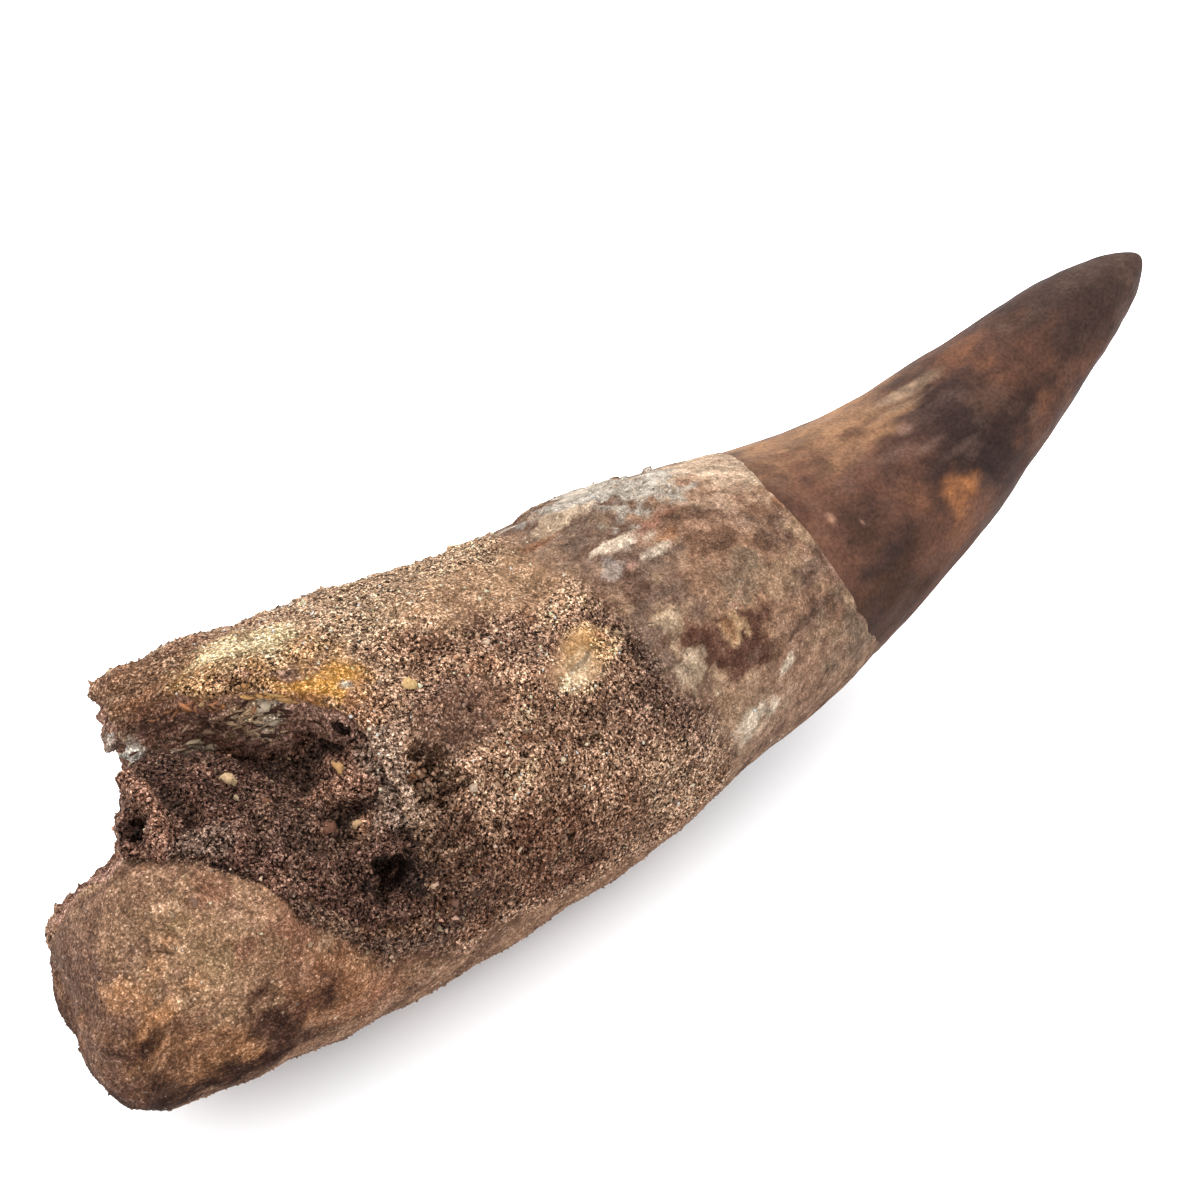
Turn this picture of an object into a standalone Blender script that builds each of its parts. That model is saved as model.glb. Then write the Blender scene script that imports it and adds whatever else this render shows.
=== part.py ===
# A long curved theropod tooth with its root, lying on its convex side, and the sandstone that
# fills the broken end of the root. +X runs from the root to the tip of the crown, the table is z = 0.
import bpy
import bmesh
from math import cos, radians, sin, sqrt
from mathutils import Matrix, Vector

MM = 0.001

# Driving dimensions, in millimetres
TOOTH_LENGTH = 123.0
BROKEN_END = 1.95
WIDTH_TO_HEIGHT = 1.08
# distance from the broken end, height of the centre line, half height of the section
STATIONS = [
    (0.0, 14.0, 13.8),
    (17.0, 15.3, 15.8),
    (34.0, 14.7, 15.6),
    (50.0, 14.1, 14.5),
    (62.0, 15.4, 13.2),
    (72.0, 15.5, 11.9),
    (82.0, 16.4, 10.2),
    (92.0, 18.6, 8.5),
    (102.0, 22.4, 6.7),
    (112.0, 26.7, 4.7),
    (123.0, 30.7, 2.3),
]
TIP_ROUNDING = 8.0
RING_STEP = 3.0
RING_POINTS = 40

# The lower lobe ends in a rounded face that leans back on its far side and above its middle,
# tucks in again towards its foot and rises a little off the table
LOBE_ROUNDING = 5.0
LOBE_LEAN_FAR = 0.30
LOBE_LEAN_UP = 0.45
LOBE_MIDDLE = 18.0
LOBE_REACH = 26.0
LOBE_FOOT = 10.0
LOBE_TUCK = 0.36
HEEL_LIFT = 3.0
HEEL_REACH = 34.0
HEEL_CURVE = 1.3

# The upper lobe is broken off shorter. Its break meets the top of the lower lobe at this corner:
# both faces run the same way, one falls towards the end of the lobe and the other rises
BREAK_CORNER = Vector((8.0, -8.4, 27.15))
BREAK_FALL = Vector((-0.93, 0.0, -0.385))
BREAK_RUN = Vector((0.27, 0.74, -0.64))
BREAK_RISE = Vector((0.48, 0.88, 0.17))
BREAK_SIZE = 60.0
BREAK_ROUNDING = 1.6

# The broken window in the wall of the root: distance, upper and lower edge (degrees from the top
# towards the near side), depth below the surface
WINDOW = [
    (3.0, -6.0, 22.0, 3.0),
    (8.0, -18.0, 24.0, 5.0),
    (13.0, -22.0, 34.0, 7.5),
    (18.0, -8.0, 61.0, 9.5),
    (22.5, 6.0, 84.0, 9.0),
    (26.0, 14.0, 88.0, 6.5),
    (27.6, 24.0, 66.0, 4.0),
]
WINDOW_REACH = 5.0
WINDOW_TOP_SHARE = 0.8
WINDOW_BOTTOM_SHARE = 0.6
MATRIX_DEPTH = 2.6
FIT_GAP = 0.3

# The block that cuts the flat the tooth rests on
FLOOR_MARGIN = 10.0
FLOOR_WIDTH = 60.0
FLOOR_DEPTH = 20.0

TOOTH_COLOUR = (0.20, 0.13, 0.08)
MATRIX_COLOUR = (0.07, 0.045, 0.035)


def clear_scene():
    for obj in list(bpy.data.objects):
        bpy.data.objects.remove(obj, do_unlink=True)


def make_collection(name):
    collection = bpy.data.collections.new(name)
    bpy.context.scene.collection.children.link(collection)
    return collection


def make_material(name, colour, roughness):
    material = bpy.data.materials.new(name)
    material.use_nodes = True
    shader = material.node_tree.nodes["Principled BSDF"]
    shader.inputs["Base Color"].default_value = (*colour, 1.0)
    shader.inputs["Roughness"].default_value = roughness
    shader.inputs["Metallic"].default_value = 0.0
    return material


def add_object(name, mesh, collection, material=None):
    obj = bpy.data.objects.new(name, mesh)
    collection.objects.link(obj)
    if material:
        mesh.materials.append(material)
    return obj


def mark_cutter(obj):
    obj.display_type = "WIRE"
    obj.hide_render = True
    return obj


def mesh_from(name, bm, smooth=True):
    bmesh.ops.recalc_face_normals(bm, faces=bm.faces)
    mesh = bpy.data.meshes.new(name)
    bm.to_mesh(mesh)
    bm.free()
    if smooth:
        mesh.shade_smooth()
    return mesh


def station_value(x, column):
    # A smooth cubic through the stations, with the slope at each taken from its neighbours
    last = len(STATIONS) - 1
    i = 0
    while i < last - 1 and x > STATIONS[i + 1][0]:
        i += 1

    def slope(k):
        low = STATIONS[max(k - 1, 0)]
        high = STATIONS[min(k + 1, last)]
        return (high[column] - low[column]) / (high[0] - low[0])

    span = STATIONS[i + 1][0] - STATIONS[i][0]
    t = (x - STATIONS[i][0]) / span
    start, end = STATIONS[i][column], STATIONS[i + 1][column]
    return (start * (1 + 2 * t) * (1 - t) ** 2 + slope(i) * span * t * (1 - t) ** 2
            + end * (3 - 2 * t) * t ** 2 + slope(i + 1) * span * t ** 2 * (t - 1))


def end_rounding(x):
    # 1 along the tooth, falling to 0 in a rounded curve at the tip and at the broken end
    tip = min(max((TOOTH_LENGTH - x) / TIP_ROUNDING, 0.0), 1.0)
    lobe = min(max(x / LOBE_ROUNDING, 0.0), 1.0)
    return sqrt(1 - (1 - tip) ** 2) * (1 - (1 - lobe) ** 3) ** 0.4


def section_point(x, angle, offset=0.0, rounded=False):
    # A point on the section at x, measured round from the top towards the near side (-Y)
    step = 0.5
    rise = (station_value(x + step, 1) - station_value(x - step, 1)) / (2 * step)
    up = Vector((-rise, 0, 1)).normalized()
    radius = station_value(x, 2)
    if rounded:
        radius *= end_rounding(x)
    radius = max(radius + offset, 0.02)
    side = Vector((0, -WIDTH_TO_HEIGHT, 0))
    centre = Vector((x, 0, station_value(x, 1)))
    return centre + radius * (cos(angle) * up + sin(angle) * side)


def leaned(point):
    # Rings near the broken end shift along the tooth, less and less towards LOBE_REACH, and
    # their lower half rises, less and less towards HEEL_REACH
    far = point.y + WIDTH_TO_HEIGHT * STATIONS[0][2]
    above = max(point.z - LOBE_MIDDLE, 0.0)
    under = max(LOBE_FOOT - point.z, 0.0)
    weight = max(1 - point.x / LOBE_REACH, 0.0)
    shift = (LOBE_LEAN_FAR * far + LOBE_LEAN_UP * above) * weight
    shift += LOBE_TUCK * under ** 2 / LOBE_FOOT * weight ** 2
    heel = min(max(1 - point.x / HEEL_REACH, 0.0), 1.0)
    low = min(max(1 - point.z / LOBE_MIDDLE, 0.0), 1.0)
    return point + Vector((shift, 0, HEEL_LIFT * heel ** HEEL_CURVE * low))


def ring_distances():
    count = round(TOOTH_LENGTH / RING_STEP)
    even = [TOOTH_LENGTH * i / count for i in range(1, count)]
    root_end = [0.0, 0.15, 0.5, 1.2]
    tip_end = [TOOTH_LENGTH - gap for gap in (1.2, 0.4, 0.0)]
    return root_end + even + tip_end


def tooth_form(offset):
    # Elliptical rings along the curved centre line, joined into one closed skin
    bm = bmesh.new()
    rings = []
    for x in ring_distances():
        ring = []
        for i in range(RING_POINTS):
            angle = radians(360 * i / RING_POINTS)
            point = leaned(section_point(x, angle, offset, rounded=True))
            ring.append(bm.verts.new(to_world(point)))
        rings.append(ring)
    for low, high in zip(rings, rings[1:]):
        for i in range(RING_POINTS):
            j = (i + 1) % RING_POINTS
            bm.faces.new((low[i], low[j], high[j], high[i]))
    bm.faces.new(rings[0])
    bm.faces.new(rings[-1])
    return bm


def to_world(point):
    # The origin lies under the middle of the tooth, on the table
    return Vector((point.x - (BROKEN_END + TOOTH_LENGTH) / 2, point.y, point.z)) * MM


def block(name, corner, edges, collection, rounding):
    # A skewed block from one corner and three edge vectors
    a, b, c = edges
    centre = to_world(corner + (a + b + c) / 2)
    frame = Matrix((a * MM, b * MM, c * MM)).transposed().to_4x4()
    bm = bmesh.new()
    bmesh.ops.create_cube(bm, size=1.0, matrix=Matrix.Translation(centre) @ frame)
    obj = add_object(name, mesh_from(name, bm, smooth=False), collection)
    if rounding:
        bevel = obj.modifiers.new("rounding", "BEVEL")
        bevel.width = rounding * MM
        bevel.segments = 3
    return mark_cutter(obj)


def window_cage():
    # A coarse closed cage along the window, outside the wall on one side and inside it on the other
    bm = bmesh.new()
    rings = []
    for x, top, bottom, depth in WINDOW:
        middle = (top + bottom) / 2
        corners = [(top, WINDOW_REACH), (middle, WINDOW_REACH), (bottom, WINDOW_REACH),
                   (bottom, -depth * WINDOW_BOTTOM_SHARE), (middle, -depth),
                   (top, -depth * WINDOW_TOP_SHARE)]
        rings.append([bm.verts.new(to_world(section_point(x, radians(angle), offset)))
                      for angle, offset in corners])
    for low, high in zip(rings, rings[1:]):
        for i in range(len(low)):
            j = (i + 1) % len(low)
            bm.faces.new((low[i], low[j], high[j], high[i]))
    bm.faces.new(rings[0])
    bm.faces.new(rings[-1])
    return bm


def smooth_cage(obj):
    subdivision = obj.modifiers.new("smooth", "SUBSURF")
    subdivision.levels = 3
    subdivision.render_levels = 3


def add_boolean(obj, cutter, operation):
    boolean = obj.modifiers.new(cutter.name, "BOOLEAN")
    boolean.operation = operation
    boolean.object = cutter


def make_cutters(collection):
    window = add_object("window_cutter", mesh_from("window_cutter", window_cage()), collection)
    smooth_cage(window)
    mark_cutter(window)

    fall = BREAK_FALL.normalized() * BREAK_SIZE
    run = BREAK_RUN.normalized() * BREAK_SIZE
    rise = BREAK_RISE.normalized() * BREAK_SIZE
    corner = BREAK_CORNER - run / 2
    upper = block("upper_break_cutter", corner, (fall, run, rise), collection, BREAK_ROUNDING)

    length = Vector((TOOTH_LENGTH + 2 * FLOOR_MARGIN, 0, 0))
    width = Vector((0, FLOOR_WIDTH, 0))
    low_corner = Vector((-FLOOR_MARGIN, -FLOOR_WIDTH / 2, -FLOOR_DEPTH))
    floor = block("floor_cutter", low_corner, (length, width, Vector((0, 0, FLOOR_DEPTH))), collection, 0)
    return window, upper, floor


def make_tooth(collection, material, cutters):
    tooth = add_object("tooth", mesh_from("tooth", tooth_form(0.0)), collection, material)
    for cutter in cutters:
        add_boolean(tooth, cutter, "DIFFERENCE")
    return tooth


def make_matrix(collection, cutter_collection, material, upper):
    # The sandstone follows the window with a fine gap and stays below the surface of the root
    limit = add_object("matrix_limit", mesh_from("matrix_limit", tooth_form(-MATRIX_DEPTH)),
                       cutter_collection)
    mark_cutter(limit)
    matrix = add_object("matrix", mesh_from("matrix", window_cage()), collection, material)
    smooth_cage(matrix)
    inset = matrix.modifiers.new("gap", "DISPLACE")
    inset.mid_level = 0.0
    inset.strength = -FIT_GAP * MM
    add_boolean(matrix, limit, "INTERSECT")
    add_boolean(matrix, upper, "DIFFERENCE")
    return matrix


def main():
    clear_scene()
    pieces = make_collection("spinosaurus_tooth")
    helpers = make_collection("cutters")
    bone = make_material("tooth", TOOTH_COLOUR, 0.6)
    sandstone = make_material("matrix", MATRIX_COLOUR, 0.95)
    window, upper, floor = make_cutters(helpers)
    make_tooth(pieces, bone, (upper, window, floor))
    make_matrix(pieces, helpers, sandstone, upper)


main()
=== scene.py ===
# A fossil spinosaurus tooth lying on a pale table: sandy root, broken at its end, and dark enamel crown
from math import pi, radians

import bmesh
import bpy
import numpy as np
from mathutils import Matrix, Vector
from mathutils.bvhtree import BVHTree


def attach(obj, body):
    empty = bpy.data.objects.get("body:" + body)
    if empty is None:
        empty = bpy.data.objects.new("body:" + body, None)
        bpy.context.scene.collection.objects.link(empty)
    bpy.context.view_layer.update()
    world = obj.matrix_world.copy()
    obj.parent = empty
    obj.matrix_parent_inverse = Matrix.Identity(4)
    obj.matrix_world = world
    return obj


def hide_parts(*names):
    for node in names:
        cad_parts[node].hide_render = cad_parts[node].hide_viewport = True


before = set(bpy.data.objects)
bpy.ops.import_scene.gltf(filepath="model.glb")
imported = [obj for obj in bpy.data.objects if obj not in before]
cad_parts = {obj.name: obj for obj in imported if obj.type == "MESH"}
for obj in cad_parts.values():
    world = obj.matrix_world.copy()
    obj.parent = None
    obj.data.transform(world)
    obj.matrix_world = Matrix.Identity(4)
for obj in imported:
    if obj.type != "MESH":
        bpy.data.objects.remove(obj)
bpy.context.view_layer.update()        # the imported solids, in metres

print("tooth: frame loaded")


# the shape that every piece of the tooth follows, in millimetres

toothShape = {
    "length": 123.0,
    "brokenEnd": 1.95,           # the lobe's end, once it leans back
    "widthToHeight": 1.08,
    # distance from the broken end, height of the centre line, half height
    "stations": [
        (0.0, 14.0, 13.8),
        (17.0, 15.3, 15.8),
        (34.0, 14.7, 15.6),
        (50.0, 14.1, 14.5),
        (62.0, 15.4, 13.2),
        (72.0, 15.5, 11.9),
        (82.0, 16.4, 10.2),
        (92.0, 18.6, 8.5),
        (102.0, 22.4, 6.7),
        (112.0, 26.7, 4.7),
        (123.0, 30.7, 2.3),
    ],
    "tipRounding": 8.0,
    "lobeRounding": 5.0,
    "lobeLeanFar": 0.30,         # the lobe's end leans back on its far side
    "lobeLeanUp": 0.45,          # and above its middle
    "lobeMiddle": 18.0,
    "lobeReach": 26.0,
    "lobeHeel": 10.0,            # under this height the end tucks in again
    "lobeTuck": 0.36,
    "heelLift": 3.0,             # and rises off the table
    "heelReach": 34.0,
    "heelCurve": 1.3,
}
originAt = (toothShape["brokenEnd"] + toothShape["length"]) / 2
stations = np.array(toothShape["stations"])
skinRadius = 15.0            # the root's usual radius, to turn degrees into millimetres
millimetre = 0.001
farAway = 50.0               # added to a distance to rule a place out


def stationCurve(x, column):
    # smooth cubic through the stations
    x = np.asarray(x, float)
    place, value = stations[:, 0], stations[:, column]
    last = len(place) - 1
    before = np.maximum(np.arange(last + 1) - 1, 0)
    after = np.minimum(np.arange(last + 1) + 1, last)
    slope = (value[after] - value[before]) / (place[after] - place[before])
    i = np.clip(np.searchsorted(place, x, side="left") - 1, 0, last - 1)
    span = place[i + 1] - place[i]
    t = (x - place[i]) / span
    return (value[i] * (1 + 2 * t) * (1 - t) ** 2 + slope[i] * span * t * (1 - t) ** 2
            + value[i + 1] * (3 - 2 * t) * t ** 2 + slope[i + 1] * span * t ** 2 * (t - 1))


def centreSlope(x):
    step = 0.5
    return (stationCurve(x + step, 1) - stationCurve(x - step, 1)) / (2 * step)


def endRounding(x):
    # 1 along the tooth, 0 at the tip and at the broken end
    tip = np.clip((toothShape["length"] - x) / toothShape["tipRounding"], 0, 1)
    lobe = np.clip(x / toothShape["lobeRounding"], 0, 1)
    return np.sqrt(1 - (1 - tip) ** 2) * (1 - (1 - lobe) ** 3) ** 0.4


def sectionPoint(x, angle, offset=0.0, rounded=False):
    # angle runs from the top of the tooth towards the near side
    x, angle, offset = np.broadcast_arrays(*(np.asarray(v, float) for v in (x, angle, offset)))
    rise = centreSlope(x)
    size = np.sqrt(1 + rise ** 2)
    radius = stationCurve(x, 2) * (endRounding(x) if rounded else 1) + offset
    radius = np.maximum(radius, 0.02)
    up = radius * np.cos(angle)
    side = -toothShape["widthToHeight"] * radius * np.sin(angle)
    return np.stack([x - rise / size * up, side, stationCurve(x, 1) + up / size], -1)


def leaned(points):
    # near the broken end the rings shift along the tooth
    far = points[..., 1] + toothShape["widthToHeight"] * stations[0, 2]
    above = np.maximum(points[..., 2] - toothShape["lobeMiddle"], 0)
    under = np.maximum(toothShape["lobeHeel"] - points[..., 2], 0)
    weight = np.maximum(1 - points[..., 0] / toothShape["lobeReach"], 0)
    shift = (toothShape["lobeLeanFar"] * far + toothShape["lobeLeanUp"] * above) * weight
    shift += toothShape["lobeTuck"] * under ** 2 / toothShape["lobeHeel"] * weight ** 2
    moved = points.copy()
    moved[..., 0] += shift
    heel = np.clip(1 - points[..., 0] / toothShape["heelReach"], 0, 1)
    low = np.clip(1 - points[..., 2] / toothShape["lobeMiddle"], 0, 1)
    moved[..., 2] += toothShape["heelLift"] * heel ** toothShape["heelCurve"] * low
    return moved


def toothPlace(points):
    # distance along the tooth, degrees round it and radius there, for any points
    along = points[:, 0].copy()
    for _ in range(4):
        rise = centreSlope(along)
        along = points[:, 0] + (points[:, 2] - stationCurve(along, 1)) * rise
        along = np.clip(along, -8, toothShape["length"] + 2)
    rise = centreSlope(along)
    size = np.sqrt(1 + rise ** 2)
    up = (points[:, 2] - stationCurve(along, 1)) / size - (points[:, 0] - along) * rise / size
    side = -points[:, 1] / toothShape["widthToHeight"]
    return along, np.degrees(np.arctan2(side, up)), np.hypot(side, up)


# noise, ramps and meshes made from arrays

def latticeRandom(ix, iy, iz, seed):
    h = (ix * 374761393 + iy * 668265263 + iz * 1442695041 + seed * 97531) & 0xffffffff
    h = ((h ^ (h >> 13)) * 1274126177) & 0xffffffff
    return ((h ^ (h >> 16)) & 0xffffff) / 0xffffff


def lumps(points, size, seed):
    # smooth noise from 0 to 1
    p = points / size + 1000.0
    cell = np.floor(p).astype(np.int64)
    f = p - cell
    f = f * f * (3 - 2 * f)
    total = np.zeros(len(p))
    for corner in range(8):
        step = np.array([corner & 1, corner >> 1 & 1, corner >> 2])
        weight = np.prod(np.where(step, f, 1 - f), axis=1)
        at = cell + step
        total += weight * latticeRandom(at[:, 0], at[:, 1], at[:, 2], seed)
    return total


def roughness(points, size, seed, layers=4):
    # noise with finer and finer lumps, about -1 to 1
    total = np.zeros(len(points))
    share = 1.0
    for layer in range(layers):
        total += share * (lumps(points, size / 2 ** layer, seed + layer * 17) - 0.5)
        share *= 0.55
    return total * 1.6


def crumbs(points, size, seed):
    # distance to the nearest of a scatter of points, and that point's random number
    p = points / size + 1000.0
    cell = np.floor(p).astype(np.int64)
    nearest = np.full(len(p), 9.0)
    shade = np.zeros(len(p))
    for i in range(27):
        at = cell + np.array([i % 3 - 1, i // 3 % 3 - 1, i // 9 - 1])
        jitter = np.stack([latticeRandom(at[:, 0], at[:, 1], at[:, 2], seed + k) for k in range(3)], 1)
        away = np.linalg.norm(at + jitter - p, axis=1)
        closer = away < nearest
        nearest[closer] = away[closer]
        shade[closer] = latticeRandom(at[:, 0], at[:, 1], at[:, 2], seed + 3)[closer]
    return nearest, shade


def ramp(value, low, high):
    t = np.clip((value - low) / (high - low), 0, 1)
    return t * t * (3 - 2 * t)


def colour(red, green, blue):
    # display values 0 to 255, to linear light
    c = np.array([red, green, blue]) / 255
    return np.where(c <= 0.04045, c / 12.92, ((c + 0.055) / 1.055) ** 2.4)


def mixed(base, other, amount):
    amount = np.asarray(amount)[:, None]
    return base * (1 - amount) + other * amount


def addObject(name, data):
    obj = bpy.data.objects.new(name, data)
    bpy.context.scene.collection.objects.link(obj)
    return obj


def toMetres(points):
    # from the tooth's own millimetres, measured from its broken end, to the scene
    return (points - np.array([originAt, 0, 0])) * millimetre


def meshFromArrays(name, points, faces, smooth=True):
    # faces all have the same number of corners
    mesh = bpy.data.meshes.new(name)
    corners = faces.shape[1]
    mesh.vertices.add(len(points))
    mesh.loops.add(faces.size)
    mesh.polygons.add(len(faces))
    mesh.vertices.foreach_set("co", toMetres(points).astype(np.float32).ravel())
    mesh.loops.foreach_set("vertex_index", faces.astype(np.int32).ravel())
    mesh.polygons.foreach_set("loop_start", np.arange(0, faces.size, corners, dtype=np.int32))
    mesh.update(calc_edges=True)
    if smooth:
        mesh.shade_smooth()
    return addObject(name, mesh)


def storeColour(obj, name, colours):
    layer = obj.data.color_attributes.new(name, "FLOAT_COLOR", "POINT")
    full = np.ones((len(colours), 4), np.float32)
    full[:, :3] = np.clip(colours, 0, 1)
    layer.data.foreach_set("color", full.ravel())


def storeValue(obj, name, values):
    layer = obj.data.attributes.new(name, "FLOAT", "POINT")
    layer.data.foreach_set("value", np.asarray(values, np.float32))


def storeVector(obj, name, values):
    layer = obj.data.attributes.new(name, "FLOAT_VECTOR", "POINT")
    layer.data.foreach_set("vector", np.asarray(values, np.float32).ravel())


def ringFaces(rows, columns):
    # quads between closed rings
    row, column = np.meshgrid(np.arange(rows - 1), np.arange(columns), indexing="ij")
    after = (column + 1) % columns
    low, high = row * columns, (row + 1) * columns
    return np.stack([low + column, low + after, high + after, high + column], -1).reshape(-1, 4)


def closedLoft(name, rings):
    # rings of points joined into a closed body, in millimetres, for carving
    rows, columns = rings.shape[:2]
    bm = bmesh.new()
    verts = [bm.verts.new(p) for p in rings.reshape(-1, 3)]
    for face in ringFaces(rows, columns):
        bm.faces.new([verts[i] for i in face])
    bm.faces.new(verts[:columns])
    bm.faces.new(verts[-columns:])
    return carvingObject(name, bm)


def carvingObject(name, bm):
    bmesh.ops.recalc_face_normals(bm, faces=bm.faces)
    mesh = bpy.data.meshes.new(name)
    bm.to_mesh(mesh)
    bm.free()
    return addObject(name, mesh)


def objectPoints(mesh):
    found = np.empty(len(mesh.vertices) * 3, np.float32)
    mesh.vertices.foreach_get("co", found)
    return found.reshape(-1, 3).astype(float)


def setPoints(mesh, points):
    mesh.vertices.foreach_set("co", points.astype(np.float32).ravel())
    mesh.update()


def roughen(obj, amount, size, seed):
    # breaks are never flat: move every point of a cutting shape by noise
    points = objectPoints(obj.data)
    moved = points.copy()
    for axis in range(3):
        moved[:, axis] += amount * roughness(points, size, seed + axis * 101, 4)
    setPoints(obj.data, moved)


def evenSkin(body, cuts, faceSize):
    # carves the body, then covers it with even little quads; returns points and faces
    for cutter, operation in cuts:
        boolean = body.modifiers.new(cutter.name, "BOOLEAN")
        boolean.operation = operation
        boolean.object = cutter
    remesh = body.modifiers.new("evenSkin", "REMESH")
    remesh.mode = "VOXEL"
    remesh.voxel_size = faceSize
    depsgraph = bpy.context.evaluated_depsgraph_get()
    mesh = bpy.data.meshes.new_from_object(body.evaluated_get(depsgraph), depsgraph=depsgraph)
    points = objectPoints(mesh)
    corners = np.empty(len(mesh.loops), np.int32)
    mesh.loops.foreach_get("vertex_index", corners)
    bpy.data.meshes.remove(mesh)
    return points, corners.reshape(-1, 4)


def biggestPart(points, faces):
    # drops crumbs that the carving left floating
    group = np.arange(len(points))
    while True:
        lowest = group[faces].min(axis=1)
        new = group.copy()
        for corner in range(faces.shape[1]):
            np.minimum.at(new, faces[:, corner], lowest)
        new = new[new]
        if np.array_equal(new, group):
            break
        group = new
    names, counts = np.unique(group, return_counts=True)
    keep = group == names[np.argmax(counts)]
    number = np.cumsum(keep) - 1
    return points[keep], number[faces[keep[faces[:, 0]]]]


def neighbours(faces):
    pairs = np.concatenate([faces[:, [0, 1]], faces[:, [1, 2]], faces[:, [2, 3]], faces[:, [3, 0]]])
    return np.unique(np.sort(pairs, axis=1), axis=0)


def spread(values, edges, rounds):
    # evens out values over neighbouring points
    count = len(values)
    degree = np.bincount(edges.ravel(), minlength=count)
    for _ in range(rounds):
        total = np.zeros_like(values)
        for axis in range(values.shape[1]):
            total[:, axis] = (np.bincount(edges[:, 0], values[edges[:, 1], axis], count)
                              + np.bincount(edges[:, 1], values[edges[:, 0], axis], count))
        values = 0.5 * values + 0.5 * total / degree[:, None]
    return values


def unit(vectors):
    # all made one long
    return vectors / np.maximum(np.linalg.norm(vectors, axis=1, keepdims=True), 1e-12)


def pointNormals(points, faces):
    across = points[faces[:, 2]] - points[faces[:, 0]]
    down = points[faces[:, 3]] - points[faces[:, 1]]
    normal = np.cross(across, down)
    total = np.zeros_like(points)
    for corner in range(4):
        for axis in range(3):
            total[:, axis] += np.bincount(faces[:, corner], normal[:, axis], len(points))
    return unit(total)


def ellipse(along, angle, warp, x, a, length, width, turn=0.0, ragged=0.35, soft=0.3):
    # 1 inside a ragged oval on the tooth's skin, 0 outside; lengths are half lengths in millimetres
    reach = 1.04 * stationCurve(along, 2)
    dx = along - x
    dy = np.radians((angle - a + 180) % 360 - 180) * reach
    size = ragged * min(length, width)
    dx = dx + warp[:, 0] * size
    dy = dy + warp[:, 1] * size
    turned = radians(turn)
    u = dx * np.cos(turned) + dy * np.sin(turned)
    v = -dx * np.sin(turned) + dy * np.cos(turned)
    return ramp(np.hypot(u / length, v / width), 1 + soft, 1 - soft)


def softOval(along, angle, warp, x, a, length, width, turn=0.0, ragged=0.4, soft=0.4):
    # the same with a softer edge, for relief
    return ellipse(along, angle, warp, x, a, length, width, turn, ragged, soft)


def rimWarp(points, seed):
    # ragged edges for painted patches: coarse and fine noise in two directions
    coarse = [1.9 * roughness(points, 2.6, seed + k * 31, 3) for k in range(2)]
    fine = [0.9 * roughness(points, 0.8, seed + 200 + k * 31, 2) for k in range(2)]
    return np.stack([coarse[k] + fine[k] for k in range(2)], 1)


def paintPatches(paint, along, angle, warp, patches, colours, ragged, soft, worn=1.0):
    for name, x, a, length, width, turn, strength in patches:
        inside = ellipse(along, angle, warp, x, a, length, width, turn, ragged, soft) * worn
        paint = mixed(paint, colour(*colours[name]), inside * strength)
    return paint


def onLine(value, table):
    # straight lines between the pairs of a table
    return np.interp(value, *zip(*table))


def noiseSet(points, table):
    # named noises: size of the lumps, seed, layers, how far they are drawn out along the tooth
    return {name: roughness(points * [drawn, 1, 1], size, seed, layers)
            for name, (size, seed, layers, drawn) in table.items()}


def mottled(paint, rows, colours, noises):
    # rows of colour, noise, where it starts and is full, strength; a minus sign turns the noise over
    for name, noise, low, high, strength in rows:
        value = -noises[noise[1:]] if noise.startswith("-") else noises[noise]
        paint = mixed(paint, colour(*colours[name]), ramp(value, low, high) * strength)
    return paint


def ground(base, rows, colours, noises):
    # one plain colour with mottling over it
    count = len(next(iter(noises.values())))
    return mottled(np.tile(colour(*colours[base]), (count, 1)), rows, colours, noises)


# the broken end: cutting shapes shared by the root and the sandstone

breakShape = {
    "corner": (8.0, -8.4, 27.15),     # where the upper break meets the top of the lower lobe
    "fall": (-0.93, 0.0, -0.385),    # along the top of the lower lobe
    "run": (0.27, 0.74, -0.64),      # the way both broken faces go
    "rise": (0.48, 0.88, 0.17),      # up the break of the upper lobe
    "size": 60.0,
    "cuts": 90,
    "roughness": 0.7,
    "lumps": 6.0,
    "stepSoftness": 2.0,
}

# the broken window in the wall: distance, upper and lower edge in degrees, depth
windowShape = {
    "rings": [
        (3.0, -30.0, 22.0, 3.0),
        (8.0, -40.0, 24.0, 6.5),
        (13.0, -31.0, 34.0, 10.0),
        (18.0, -8.0, 61.0, 10.5),
        (22.5, 6.0, 84.0, 10.0),
        (26.0, 14.0, 88.0, 6.5),
        (27.6, 24.0, 66.0, 4.0),
    ],
    # the opening's section: share of the way down, height over the skin, share of the depth
    "section": [
        (0, 5.0, 0), (0.5, 5.0, 0), (1, 5.0, 0), (1, 0.2, 0), (5 / 6, 0, 0.4),
        (0.5, 0, 1), (0.1, 0, 1), (0, 0, 0.8), (0, 0, 0.3), (0, 0.8, 0),
    ],
    "smoothing": 4,
    "faceSize": 0.45,
    "roughness": 0.5,
    "lumps": 3.0,
    "lip": [(13, -20), (18, -5), (22.5, 8), (28, 26)],       # the upper edge on the wall: distance, degrees
}


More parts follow.
